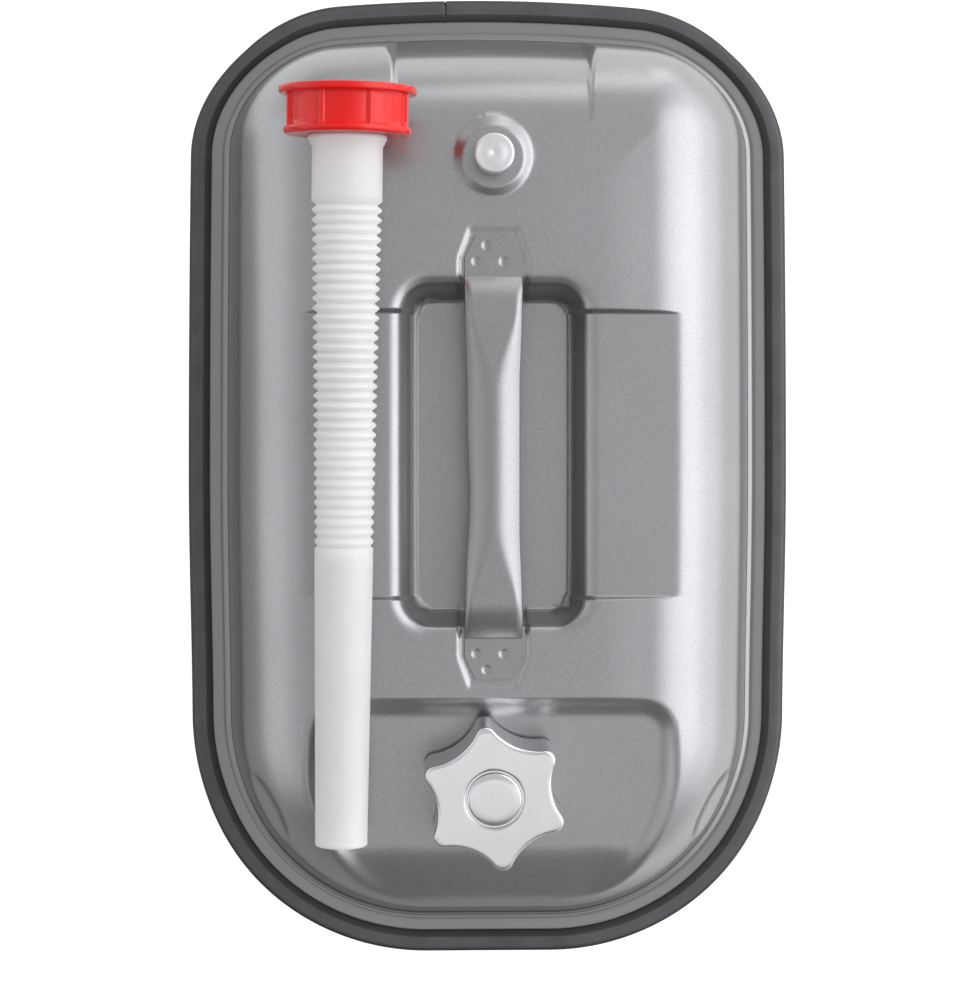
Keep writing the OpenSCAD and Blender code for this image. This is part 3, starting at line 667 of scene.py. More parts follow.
    def outward(self, x, y):
        """The direction in plan that points out of the foot's outline."""
        nx = np.where(self.foot_w - np.abs(x) < self.foot_l - np.abs(y), 1.0, 0.0)
        ny = (1 - nx) * np.sign(y)
        for end, _, radius, across, along, corner in self.corners(x, y):
            nx = np.where(corner, across / radius, nx)
            ny = np.where(corner, end * along / radius, ny)
        return nx * np.sign(x), ny

    def skin(self, height, x, y):
        """Points of the outer face, rounded into the flange at the foot."""
        z = smooth_max(height(x, y), self.sizes.sheet, self.sizes.root_r)
        track_out, track_w = 0.0026, 0.0011
        track = np.exp(-(((self.inset(x, y) + track_out) / track_w) ** 2))
        return np.stack([x, y, z - self.sizes.weld_depth * track], axis=-1)

    def inner_skin(self, height, x, y):
        """Points of the inner face, one sheet below the outer one."""
        e = 2e-4
        slope_x = (self.skin(height, x + e, y) - self.skin(height, x - e, y))[..., 2] / (2 * e)
        slope_y = (self.skin(height, x, y + e) - self.skin(height, x, y - e))[..., 2] / (2 * e)
        normal = np.stack([-slope_x, -slope_y, np.ones_like(slope_x)], axis=-1)
        normal /= np.linalg.norm(normal, axis=-1, keepdims=True)
        return self.skin(height, x, y) - normal * self.sizes.sheet

    def half(self, height, xs, ys, stride, holes):
        """Points and faces of a closed half: a fine outer face and a coarser inner one."""
        x, y = self.plan(*np.meshgrid(xs, ys))
        rings = (self.sizes.seam_w - self.sizes.flange_inset) * self.FLANGE_RINGS
        points, faces = [], []

        def add(block):
            """Adds a block of points and gives the number of its first one."""
            start = sum(len(part) for part in points)
            points.append(block.reshape(-1, 3))
            return start

        def sheet_face(gx, gy, skin, offsets, inner):
            """A grid of quads without its holes, and rings out from its rim; gives the last ring."""
            rows, columns = gx.shape
            start = add(skin(height, gx, gy))
            grid = np.arange(rows * columns).reshape(rows, columns)
            quads = [grid[:-1, :-1], grid[:-1, 1:], grid[1:, 1:], grid[1:, :-1]]
            quads = np.stack(quads, axis=-1).reshape(-1, 4)
            keep = np.ones(len(quads), bool)
            for hx, hy, radius in holes:
                inside = (np.hypot(gx - hx, gy - hy) < radius).ravel()[quads]
                keep &= ~(inside.any(axis=1) if inner else inside.all(axis=1))
            turn = -1 if inner else 1
            faces.extend((quads[keep] + start)[:, ::turn].tolist())
            rim = np.concatenate([grid[0, :-1], grid[:-1, -1], grid[-1, :0:-1], grid[:0:-1, 0]])
            rx, ry = gx.ravel()[rim], gy.ravel()[rim]
            nx, ny = self.outward(rx, ry)
            loop = rim + start
            for offset in offsets:
                ring = np.arange(len(loop)) + add(skin(height, rx + nx * offset, ry + ny * offset))
                quads = np.stack([loop, ring, np.roll(ring, -1), np.roll(loop, -1)], axis=1)
                faces.extend(quads[:, ::turn].tolist())
                loop = ring
            return loop

        outer = sheet_face(x, y, self.skin, rings, False)
        coarse = (x[::stride, ::stride], y[::stride, ::stride])
        inner = sheet_face(*coarse, self.inner_skin, rings[self.INNER_RINGS], True)
        for i in range(len(inner)):
            top = [int(outer[(i * stride + k) % len(outer)]) for k in range(stride, -1, -1)]
            faces.append([int(inner[i]), int(inner[(i + 1) % len(inner)]), *top])
        return np.concatenate(points), faces

    def make(self, node, height, step, fine_x, fine_y, stride, holes, up):
        """A closed half as a piece on the can, facing up or down from the seam."""
        xs = graded_lines(self.foot_w, step, fine_x, stride)
        ys = graded_lines(self.foot_l, step, fine_y, stride)
        points, faces = self.half(height, xs, ys, stride, holes)
        if up < 0:
            faces = [face[::-1] for face in faces]
        name = node + "_pressing"
        piece = make_piece(name, "shell_steel", self.bowed(points, up), faces, [node], "can")
        with mesh_work(piece.data) as work:
            loose = [vert for vert in work.verts if not vert.link_faces]
            bmesh.ops.delete(work, geom=loose, context="VERTS")
            for hx, hy, radius in holes:
                centre = Vector((hx, hy))
                rim = [edge for edge in work.edges if edge.is_boundary]
                rim = [edge for edge in rim if (edge.verts[0].co.xy - centre).length < 3 * radius]
                bmesh.ops.bridge_loops(work, edges=rim)


# Shader graphs

def overload(operation):
    """The plain and the reflected form of an operator, each of which adds a Math node."""

    def plain(self, other):
        return self.math(operation, self, other)

    def reflected(self, other):
        return self.math(operation, other, self)

    return plain, reflected


class Value:
    """A shader socket whose arithmetic adds Math nodes."""

    def __init__(self, graph, socket):
        self.graph = graph
        self.socket = socket

    def math(self, operation, first, second=0.0):
        """A Math node on two values."""
        return self.graph.node("Math", {"operation": operation}, {0: first, 1: second})

    def sibling(self, output):
        """Another output of the same node."""
        return Value(self.graph, self.socket.node.outputs[output])

    __add__, __radd__ = overload("ADD")
    __sub__, __rsub__ = overload("SUBTRACT")
    __mul__, __rmul__ = overload("MULTIPLY")
    __pow__, __rpow__ = overload("POWER")


class Graph:
    """A node tree, and the one way in which nodes are added to it."""

    def __init__(self, tree):
        self.tree = tree

    def plug(self, target, value):
        """Links a wrapped socket to an input, or sets a plain value on it."""
        if isinstance(value, Value):
            self.tree.links.new(value.socket, target)
        else:
            target.default_value = value

    def node(self, kind, settings=None, inputs=None, output=0):
        """A node from its type, its settings and its inputs; gives one output."""
        node = self.tree.nodes.new("ShaderNode" + kind)
        for name, value in (settings or {}).items():
            setattr(node, name, value)
        for name, value in (inputs or {}).items():
            self.plug(node.inputs[name], value)
        return Value(self, node.outputs[output])

    def part(self, vector, axis):
        """One part of a vector."""
        return self.node("SeparateXYZ", None, {"Vector": vector}, axis)

    def ramp(self, value, start, end, first=0.0, last=1.0, kind="LINEAR"):
        """A value that goes from first to last between two levels of another."""
        inputs = {"Value": value, "From Min": start, "From Max": end, "To Min": first, "To Max": last}
        return self.node("MapRange", {"interpolation_type": kind}, inputs)


class Finish(Graph):
    """A material made of a Principled shader and the nodes that vary it."""

    def __init__(self, slot, **sockets):
        self.material = bpy.data.materials.new(finish_name(slot))
        self.material.use_nodes = True
        super().__init__(self.material.node_tree)
        self.shader = self.tree.nodes["Principled BSDF"]
        self.place = self.node("TexCoord", output="Object")
        self.set(**sockets)

    def set(self, **sockets):
        """Sets or links sockets of the shader; underscores stand for spaces."""
        for name, value in sockets.items():
            self.plug(self.shader.inputs[name.replace("_", " ")], value)

    def noise(self, scale, detail=2.0, rough=0.5, stretch=None):
        """Noise in the piece's own space, with an optional stretch."""
        place = self.place
        if stretch:
            place = self.node("Mapping", None, {"Vector": place, "Scale": stretch})
        inputs = {"Vector": place, "Scale": scale, "Detail": detail, "Roughness": rough}
        return self.node("TexNoise", None, inputs)

    def blend(self, factor, first, second):
        """A colour between two colours."""
        # The Mix node's colours are its inputs 6 and 7 and its output 2
        inputs = {"Factor": factor, 6: first, 7: second}
        return self.node("Mix", {"data_type": "RGBA"}, inputs, 2)

    def tones(self, mask, tint, dark, light):
        """A colour that a mask takes from a darker to a lighter shade."""
        return self.blend(mask, shade(tint, dark), shade(tint, light))

    def surface(self, paint, rough, height, distance, strength):
        """Feeds a colour, a roughness and a bump of a height to the shader."""
        inputs = {"Height": height, "Distance": distance, "Strength": strength}
        self.set(Base_Color=paint, Roughness=rough, Normal=self.node("Bump", None, inputs))


def shade(tint, factor):
    """A colour made lighter or darker."""
    return tuple(min(1, part * factor) for part in tint[:3]) + (1,)


def silver_paint(slot, tint, rough, seam_z=None):
    """Satin silver paint with fine flake, a little orange peel and painted shade along the flange at the seam."""
    finish = Finish(slot, Metallic=0.9, IOR=1.5)
    flake = finish.noise(1100, 2, 0.7)
    paint = finish.tones(flake * 0.75 + finish.noise(9, 3) * 0.25, tint, 0.66, 1.34)
    if seam_z is not None:
        # Painted shade: near the seam's height the paint is darker, as if the walls and the trim shade the flange.
        away = finish.part(finish.place, 2) - seam_z
        clear = finish.ramp(away.math("ABSOLUTE", away), 0.0013, 0.004)
        paint = finish.blend(clear, shade(tint, 0.78), paint)
    rough = rough - 0.06 + 0.12 * finish.noise(700, 2)
    finish.surface(paint, rough, finish.noise(420, 2) + 0.5 * flake, 0.00006, 0.5)


def black_rubber(slot, tint, rough):
    """Moulded black rubber with a fine grain, a random dust-like tone, and painted light and shade: lighter where
    it faces up, much darker where it faces sideways or down.
    """
    finish = Finish(slot, IOR=1.5)
    # Painted light and shade by facing: faces turned up take the lighter, dust-varied tone, and all other faces
    # take a much darker painted shade.
    facing = finish.node("NewGeometry", output="Normal")
    top = finish.ramp(finish.part(facing, 2), 0.86, 0.98)
    dust_and_painted_top_light = finish.tones(finish.noise(60, 4, 0.6), tint, 0.7, 1.7)
    paint = finish.blend(top, shade(tint, 0.3), dust_and_painted_top_light)
    rough = rough - 0.08 + 0.16 * finish.noise(240, 3)
    finish.surface(paint, rough, finish.noise(1800, 2), 0.00008, 0.5)


def zinc_plate(slot, tint):
    """Zinc plate with small spangles."""
    finish = Finish(slot, Metallic=1.0)
    inputs = {"Vector": finish.place, "Scale": 420}
    spangle = finish.node("TexVoronoi", {"feature": "F1"}, inputs, "Color")
    grey = finish.node("RGBToBW", None, {"Color": spangle})
    paint = finish.tones(grey, tint, 0.8, 1.2)
    finish.surface(paint, 0.28 + 0.14 * grey, finish.noise(900, 2), 0.00004, 0.4)


def bright_chrome(slot, tint, rough):
    """Polished chrome with faint buffing marks."""
    finish = Finish(slot, Metallic=1.0)
    buff = finish.noise(500, 3, 0.6, (1, 0.06, 1))
    cloud = finish.noise(70, 2)
    paint = finish.tones(cloud, tint, 0.94, 1.06)
    finish.surface(paint, rough - 0.03 + 0.09 * buff, buff + cloud, 0.00003, 0.35)


def turned_chrome(slot, tint, rough, centre):
    """Chrome with the fine circular marks of a lathe tool."""
    finish = Finish(slot, Metallic=0.7)
    inputs = {0: finish.place, 1: tuple(centre)}
    x = finish.part(finish.node("VectorMath", {"operation": "SUBTRACT"}, inputs), 0)
    y = x.sibling(1)
    away = (x * x + y * y) ** 0.5
    groove = away.math("SINE", away * (2 * math.pi / 0.00055))
    drift = finish.noise(300, 2)
    paint = finish.tones(drift, tint, 0.94, 1.04)
    finish.surface(paint, rough + 0.08 * drift, groove + drift * 0.4, 0.00003, 0.6)


def red_plastic(slot, tint):
    """Glossy moulded plastic with faint flow marks."""
    finish = Finish(slot, IOR=1.4, Coat_Weight=0.15)
    flow = finish.noise(70, 4, 0.6, (1, 0.4, 1))
    paint = finish.tones(flow, tint, 0.88, 1.15)
    finish.surface(paint, 0.12 + 0.1 * flow, finish.noise(260, 3), 0.00006, 0.4)


def milky_plastic(slot, tint):
    """Cloudy blow-moulded plastic that lets light through."""
    finish = Finish(slot, IOR=1.3, Subsurface_Weight=0.45, Subsurface_Scale=0.01)
    finish.set(Subsurface_Radius=(1, 1, 1), Sheen_Weight=0.9, Sheen_Roughness=0.45)
    finish.set(Transmission_Weight=0.3)
    cloud = finish.noise(45, 4, 0.55, (1, 0.5, 1))
    paint = finish.tones(cloud, tint, 0.93, 1.08)
    finish.surface(paint, 0.3 + 0.16 * cloud, finish.noise(320, 3), 0.00008, 0.4)


def matt_plastic(slot, tint):
    """Plain matt plastic with a fine grain."""
    finish = Finish(slot, IOR=1.45)
    grain = finish.noise(900, 3)
    paint = finish.tones(grain, tint, 0.92, 1.05)
    finish.surface(paint, 0.5 + 0.15 * grain, grain, 0.00005, 0.4)


# Operators

class FUELCAN_OT_finishes(bpy.types.Operator):
    """Makes the material of every surface"""

    bl_idname = "fuel_can.finishes"
    bl_label = "Finishes"

    def execute(self, context):
        f = context.scene.can_finish
        # The shell's paint gets painted shade along the flange at the seam.
        silver_paint("shell_steel", f.steel, f.steel_rough, Pressing(context.scene).seam_z)
        silver_paint("handle_steel", shade(f.steel, 0.92), f.steel_rough)
        black_rubber("trim_rubber", f.rubber, 0.36)
        black_rubber("seal_rubber", f.seal, 0.55)
        for slot in ("neck_steel", "cup_steel", "vent_steel"):
            zinc_plate(slot, f.zinc)
        bright_chrome("cap_chrome", f.chrome, f.chrome_rough)
        turned_chrome("vent_chrome", f.chrome, 0.26, JOINTS["vent_turn"]["pos_m"])
        red_plastic("collar_plastic", f.red)
        milky_plastic("spout_plastic", f.milk)
        matt_plastic("washer_plastic", f.washer)
        return {"FINISHED"}


class FUELCAN_OT_small_parts(bpy.types.Operator):
    """Gives the solids that keep their shape their finishes"""

    bl_idname = "fuel_can.small_parts"
    bl_label = "Small parts"

    def execute(self, context):
        for part in frame["record"]["subparts"]:
            slots = frame["nodes"][part["node"]].data.materials
            slots.clear()
            slots.append(bpy.data.materials[finish_name(part["material_slot"])])
        return {"FINISHED"}


class FUELCAN_OT_pressings(bpy.types.Operator):
    """Builds the two pressed halves of the can"""

    bl_idname = "fuel_can.pressings"
    bl_label = "Pressed halves"

    def execute(self, context):
        can = Pressing(context.scene)
        s = can.sizes
        well_in = 0.01
        scoop_x, scoop_y = 0.126, -0.19
        neck_hole_r, vent_hole_r = 0.0236, 0.0062
        ring_reach = s.ring_d / 2 + 0.001
        # Finer mesh lines where the sheet bends: the middle, the places beside it, reach and spacing
        fine_x = both(0, can.foot_w, 0.008, 0.0009) + both(0, s.slot_half_w, 0.005, 0.001)
        fine_x += both(0, s.well_w / 2 - well_in, 0.006, 0.001) + both(0, scoop_x, 0.013, 0.0011)
        fine_x += [(0, ring_reach, 0.001)]
        fine_y = both(0, can.foot_l, 0.008, 0.0009)
        fine_y += both(s.recess_y, s.recess_w / 2, 0.0035, 0.0006)
        fine_y += both(s.recess_y, s.well_l / 2 - well_in, 0.007, 0.001)
        fine_y += [(s.step_y - 0.003, 0.005, 0.0008), (scoop_y, 0.02, 0.0011)]
        fine_y += [(can.vent.y, ring_reach, 0.001)]
        holes = [(0, can.neck.y, neck_hole_r), (0, can.vent.y, vent_hole_r)]
        can.make("front_shell", can.front, s.front_step, fine_x, fine_y, 4, holes, 1)
        fine_x = both(0, can.foot_w, 0.01, 0.0012)
        fine_y = both(0, can.foot_l, 0.01, 0.0012)
        can.make("back_shell", can.back, s.back_step, fine_x, fine_y, 2, [], -1)
        return {"FINISHED"}


class FUELCAN_OT_trim(bpy.types.Operator):
    """Builds the rubber trim that is pushed over the seam"""

    bl_idname = "fuel_can.trim"
    bl_label = "Rubber trim"

    def execute(self, context):
        t = context.scene.can_trim
        can = Pressing(context.scene)
        half, grip = t.height / 2, can.sizes.sheet + 0.00008
        nose_r, edge_r, lip_r, slot_r = 0.0034, 0.0016, 0.0007, 0.0002
        upper = [
            (0, half, nose_r),
            (t.width * 0.68, half, edge_r),
            (t.width, t.lip, lip_r),
            (t.width, grip, slot_r),
            (t.back, grip, slot_r),
        ]
        lower = [(inset, -z, radius) for inset, z, radius in upper[::-1]]
        section = rounded_loop(lower[-1:] + upper + lower[:-1])
        path, outward = self.outline(can, t)
        rows = []
        for (px, py), normal in zip(path, outward):
            tuck = 0.0008 if py > 0 and abs(px - t.butt_x) < 1e-5 else 0
            for inset, z in section:
                x = px - normal[0] * (inset + tuck)
                y = py - normal[1] * (inset + tuck)
                rows.append((x, y, z * (1 - tuck * 150)))
        points = can.bowed(np.array(rows))
        faces = grid_faces(len(path), len(section), closed=True)
        make_piece("seam_trim", "trim_rubber", points, faces, ["rim_trim"], "can", 50)
        return {"FINISHED"}

    def outline(self, can, t):
        """Stations round the can, closer at the butt joint, and their outward directions."""
        path, outward = [], []
        vent, cap = (centre for _, centre, _ in can.ends)
        vent_r, cap_r = can.sizes.vent_corner_r, can.sizes.cap_corner_r
        corners = [
            (cap[0], -cap[1], cap_r, -90),
            (vent[0], vent[1], vent_r, 0),
            (-vent[0], vent[1], vent_r, 90),
            (-cap[0], -cap[1], cap_r, 180),
        ]
        for i, (x, y, radius, start) in enumerate(corners):
            steps = int(radius * math.pi / 2 / t.step)
            for k in range(steps + 1):
                turn = math.radians(start + 90 * k / steps)
                outward.append((math.cos(turn), math.sin(turn)))
                path.append((x + radius * math.cos(turn), y + radius * math.sin(turn)))
            begin = Vector(path[-1])
            x, y, radius, start = corners[(i + 1) % 4]
            turn = math.radians(start)
            end = Vector((x + radius * math.cos(turn), y + radius * math.sin(turn)))
            places = list(np.arange(t.step, (end - begin).length - t.step / 2, t.step))
            if i == 1:
                joint = begin.x - t.butt_x
                places = [p for p in places if abs(p - joint) > 0.001]
                places = sorted(places + [joint - 0.0005, joint, joint + 0.0005])
            for p in places:
                outward.append(outward[-1])
                path.append(tuple(begin + (end - begin).normalized() * p))
        return path, outward


class FUELCAN_OT_handle(bpy.types.Operator):
    """Builds the strap handle with its rolled edges, tabs and spot welds"""

    bl_idname = "fuel_can.handle"
    bl_label = "Strap handle"

    # Spot welds, as shares of the strap's width and of a tab's length
    WELDS = ((-0.12, 0.78), (-0.3, 0.42), (0.18, 0.42))
    # Dent in the strap's left edge: its depth, its place and its reach
    DENT, DENT_Y, DENT_REACH = 0.0013, -0.02, 0.025

    def execute(self, context):
        h = context.scene.can_handle
        can = Pressing(context.scene)
        face = can.seam_z + can.rise
        bend = h.span / 2
        tab = np.linspace(bend, bend + h.tab_l, 33)
        strap = np.linspace(-bend, bend, 131)[1:-1]
        rows = [self.section(h, face, y) for y in np.concatenate([-tab[::-1], strap, tab])]
        columns = len(rows[0])
        points = np.array(rows).reshape(-1, 3) + np.array([0, h.middle_y, 0])
        faces = grid_faces(len(rows), columns)
        across = columns // 2 - 1
        for start in (0, (len(rows) - 1) * columns):
            top = list(range(start + 1, start + 1 + across))
            low = list(range(start + columns - 1, start + 1 + across, -1))
            faces.append((start, top[0], low[0]))
            faces.append((start + 1 + across, low[-1], top[-1]))
            for k in range(across - 1):
                faces.append((top[k], top[k + 1], low[k + 1], low[k]))
        make_piece("strap_handle", "handle_steel", points, faces, ["handle"], "can", 42)
        return {"FINISHED"}

    def section(self, h, face, y):
        """The closed section of the strap at a place along it."""
        bend = h.span / 2
        away = abs(y)
        across = np.linspace(-1, 1, 45)
        bend_in, waist_in, waist_run = 0.002, 0.014, 0.045
        rise = min(max((bend + bend_in - away) / h.ramp, 0), 1)
        lift = 1 - (1 - rise) ** 2
        inner = float(smooth_step((bend - waist_in - away) / waist_run))
        half = (h.width + (h.waist - h.width) * inner) / 2
        if away > bend + h.tab_l / 2:
            taper = (away - bend - h.tab_l / 2) / (h.tab_l / 2)
            half += (h.tab_end_w - h.width) / 2 * taper
        dent = self.DENT * math.exp(-(((y - self.DENT_Y) / self.DENT_REACH) ** 2))
        x = across * half
        x = np.where(x < 0, x * (1 - dent / half), x)
        crown = (h.end_crown + (h.crown - h.end_crown) * inner) * lift
        flat = 0.75 * (1 - inner)
        roll = (np.maximum(np.abs(across) - flat, 0) / (1 - flat)) ** 2
        top = face - h.seat + h.thickness + (h.top + h.seat - h.thickness) * lift
        z = top - crown * roll
        for wx, wy in self.WELDS:
            spot = np.hypot(x - wx * h.width, away - bend - wy * h.tab_l) / (h.weld_d / 2)
            z = z - h.weld_depth * smooth_step((1.15 - spot) / 0.6)
        under = np.minimum(z, top - crown * roll) - h.thickness
        under = np.maximum(under, face - h.seat)
        middle = (z + under) / 2
        edge = 0.0003
        wide = [x[0] - edge, *x, x[-1] + edge, *x[::-1]]
        high = [middle[0], *z, middle[-1], *under[::-1]]
        return [(px, y, pz) for px, pz in zip(wide, high)]


class FUELCAN_OT_cap(bpy.types.Operator):
    """Builds the star cap and its centre disc"""

    bl_idname = "fuel_can.cap"
    bl_label = "Star cap"

    def execute(self, context):
        c = context.scene.can_cap
        place = axis_place(JOINTS["cap_turn"]["pos_m"], JOINTS["cap_turn"]["axis"])
        angles = even_angles(360)
        star = self.star(c, angles)
        cup, seat, floor = c.cup_d / 2, c.seat_d / 2, c.high - c.seat_depth
        rows = [(0, c.roof), (cup, c.roof), *around(cup, c.low, (0, 4), (4, 0))]
        rows += around(star, c.low, (-6, 0), (-2, 2), (0, 7), (0, 40))
        rows += around(star, c.high - c.bevel, (0, -30))
        narrow = 0.8
        for turn in np.linspace(0, math.pi / 2, 7):
            inward = c.bevel * (1 - math.cos(turn)) * narrow
            rows.append((star - inward, c.high - c.bevel * (1 - math.sin(turn))))
        top = star - c.bevel * narrow
        for k in (0.12, 0.4, 0.7, 0.93):
            rows.append((top + (seat + 0.0005 - top) * k, c.high))
        rows += around(seat, c.high, (5, 0), (1, -1.5), (0, -5)) + [(seat, floor), (0, floor)]
        turned_piece("star_cap", "cap_chrome", rows, angles, place, ["cap_star"], "cap", 48)
        disc = c.disc_d / 2
        rows = [(0, floor), *around(disc, floor, (-2, 0), (0, 3))]
        rows += around(disc, c.high, (0, -8), (-3, -3), (-8, -1), (-13, 0))
        rows += [(disc * 0.6, c.high), (0, c.high)]
        angles = even_angles(96)
        turned_piece("centre_disc", "cap_chrome", rows, angles, place, ["cap_disc"], "cap", 60)
        return {"FINISHED"}

    def star(self, c, angles):
        """Radius of the lobed outline at each angle: tip arcs that run into valley arcs."""
        half = math.pi / c.lobes
        tip_c = c.tip_r - c.tip_round
        gap = tip_c**2 + c.valley_r**2 - 2 * tip_c * c.valley_r * math.cos(half) - c.tip_round**2
        valley_round = gap / (2 * (c.tip_round - c.valley_r + tip_c * math.cos(half)))
        valley_c = c.valley_r + valley_round
        far = np.array([valley_c * math.cos(half), valley_c * math.sin(half)])
        near = np.array([tip_c, 0])
        touch = near + (far - near) * c.tip_round / (c.tip_round + valley_round)
        limit = math.atan2(touch[1], touch[0])
        from_tip = np.abs((angles - c.turn + half) % (2 * half) - half)
        in_tip = np.minimum(from_tip, limit)
        tip = tip_c * np.cos(in_tip) + np.sqrt(c.tip_round**2 - (tip_c * np.sin(in_tip)) ** 2)
        from_valley = half - np.maximum(from_tip, limit)
        valley = valley_c * np.cos(from_valley)
        valley = valley - np.sqrt(valley_round**2 - (valley_c * np.sin(from_valley)) ** 2)
        return np.where(from_tip < limit, tip, valley)


class FUELCAN_OT_vent(bpy.types.Operator):
    """Builds the turned vent knob"""

    bl_idname = "fuel_can.vent"
    bl_label = "Vent knob"

    def execute(self, context):
        v = context.scene.can_vent
        can = Pressing(context.scene)
        place = Matrix.Translation((can.vent.x, can.vent.y, can.seam_z + can.rise))
        angles = even_angles(v.knurls * 6)
        knob, stem, hollow, high = v.knob_d / 2, v.stem_d / 2, v.cavity_d / 2, v.high
        flute = knob - 0.0004 * (0.5 - 0.5 * np.cos(angles * v.knurls))
        rows = [(0, v.stem_top), (stem, v.stem_top), (stem, v.cavity_top)]
        rows += [(hollow, v.cavity_top), (hollow, v.low)]
        rows += around(knob, v.low, (-11, 0), (-4, 4), (-3, 16), (-3, 20))
        rows += around(flute, v.low, (0, 26)) + around(flute, high, (0, -34))
        rows += around(knob, high, (-3, -28), (0, -24), (0, -14), (-3, -10))
        rows += around(knob, high - v.dish, (-10, 0), (-16, -1)) + [(knob / 2, high - v.dish / 2)]
        rows += around(0, high, (16, -1.2), (11, -3), (0, -3.5))
        turned_piece("turned_knob", "vent_chrome", rows, angles, place, ["vent_knob"], "vent", 35)
        return {"FINISHED"}


class FUELCAN_OT_collar(bpy.types.Operator):
    """Builds the red screw collar with its grip ribs and thread"""

    bl_idname = "fuel_can.collar"
    bl_label = "Spout collar"

    def execute(self, context):
        p = context.scene.can_spout
        pitch = 2 * math.pi / p.ribs
        half_rib = p.rib_w / p.collar_d
        rib = half_rib * np.array([-1.7, -1.2, -0.8, -0.3, 0.3, 0.8, 1.2, 1.7])
        panel = np.linspace(half_rib * 2.6, pitch - half_rib * 2.6, 13)
        one = np.concatenate([rib, panel])
        angles = np.concatenate([one + (i + 0.5) * pitch for i in range(p.ribs)])
        from_rib = np.abs((angles + pitch) % pitch - pitch / 2)
        outer, rim, bore = p.collar_d / 2, p.rim_d / 2, p.bore_d / 2
        hole, seat = p.hole_d / 2, p.seat_d / 2
        body = outer - p.rib_h
        ribbed = body + p.rib_h * smooth_step((1.35 - from_rib / half_rib) / 0.7)
        foot, end = p.rim_l, p.collar_l
        band = end - p.band_l
        rows = around(bore, 0, (8, 0)) + around(rim, 0, (-12, 0), (-3, 3), (0, 10))
        rows += around(rim, foot, (0, -10), (-3, -3), (-10, 0)) + around(ribbed, foot, (8, 0))
        rows.append((np.maximum(ribbed, body + 0.0002), foot + 0.0008))
        for k in np.linspace(0.08, 1, 8):
            rows.append((ribbed, foot + 0.0008 + (band - foot - 0.0022) * k))
        rows.append((np.maximum(ribbed, body + 0.0006), band - 0.0007))
        rows += around(outer, band, (-2, 0), (0, 6))
        rows += around(outer, end, (0, -18), (-4, -7), (-12, -1), (-20, 0))
        rows += around(hole, end, (6, 0), (0, -6))
        rows += [(hole, p.floor_l), (seat, p.floor_l), (seat, p.thread_l), (bore, p.thread_l)]
        turn = angles / (2 * math.pi)
        for z in np.linspace(p.thread_l - 0.0006, 0.0008, 44):
            phase = np.abs((z / p.thread_pitch - turn + 0.5) % 1 - 0.5)
            fade = smooth_step((p.thread_l - 0.001 - z) / 0.002) * smooth_step((z - 0.001) / 0.002)
            ridge = p.thread_h * smooth_step((0.3 - phase) / 0.16) * fade
            rows.append((bore - ridge, z))
        nodes = ["spout_collar"]
        place = spout_place()
        turned_piece("screw_collar", "collar_plastic", rows, angles, place, nodes, "collar", 50, True)
        return {"FINISHED"}


class FUELCAN_OT_spout(bpy.types.Operator):
    """Builds the milky spout as one straight moulding with folded bellows, where the real spout bends"""

    bl_idname = "fuel_can.spout"
    bl_label = "Pouring spout"

    def execute(self, context):
        p = context.scene.can_spout
        tube, bead, flange = p.tube_d / 2, p.bead_d / 2, p.flange_d / 2
        last, mouth = p.bellows_end_d / 2, p.tip_end_d / 2
        low, high, ridge = p.flange_z, p.flange_z + p.flange_t, p.bead_z
        plain = ridge + p.bead_l
        end_z = p.bellows_z + p.folds * p.pitch
        tip_z = end_z + p.tip_l
        rows = around(flange, low, (-3, 0), (0, 3)) + around(flange, high, (0, -3), (-3, 0))
        rows += around(tube, high, (4, 0), (0, 5)) + around(tube, ridge, (0, -2))
        rows += around(bead, ridge, (-9, 0), (-2, 4), (0, 12), (-2, 21), (-8, 30))
        rows += around(tube, ridge, (9, 44)) + around(tube, plain, (2, 0), (0, 15))
        rows += [(tube, z) for z in np.linspace(plain + 0.004, p.bellows_z - 0.002, 8)]
        rows += self.folds(p, tube, last)
        for k in np.linspace(0, 1, 22):
            z = end_z + 0.001 + (p.tip_l - 0.004) * k
            rows.append((last + (mouth - last) * (z - end_z) / p.tip_l, z))
        rows += around(mouth, tip_z, (1, -22), (1, -6), (-3, -1), (-8, 0))
        rows += around(mouth - p.wall, tip_z, (0, -3))
        for k in np.linspace(0.02, 0.97, 10):
            z = tip_z - p.tip_l * k
            rows.append((last + (mouth - last) * (z - end_z) / p.tip_l - p.wall, z))
        for k in np.linspace(0, 1, 30):
            z = end_z - (end_z - p.bellows_z) * k
            rows.append((last + (tube - last) * k - p.fold - p.wall, z))
        bore = tube - p.wall
        rows += [(bore, p.bellows_z - 0.003), (bore, ridge), *around(bore, low, (0, 3), (3, 0))]
        angles = even_angles(72)
        place = spout_place()
        nodes = ["spout_neck", "spout_bellows", "spout_tip"]
        look = ("pouring_spout", "spout_plastic")
        piece = turned_piece(*look, rows, angles, place, nodes, None, 60, True)
        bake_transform(piece)
        return {"FINISHED"}

    def folds(self, p, first, last):
        """The folded outline of the bellows, shallower where the folds stand closed."""
        rows = []
        steps = 8
        for k in range(p.folds * steps + 1):
            t = k / (p.folds * steps)
            crest = first + (last - first) * t
            closed = 0.4 * float(smooth_step((t - 0.62) / 0.1))
            depth = p.fold * (1 - closed)
            wave = 0.5 - 0.5 * math.cos(2 * math.pi * k / steps)
            rows.append((crest - depth * (1 - wave**0.8), p.bellows_z + p.pitch * k / steps))
        return rows


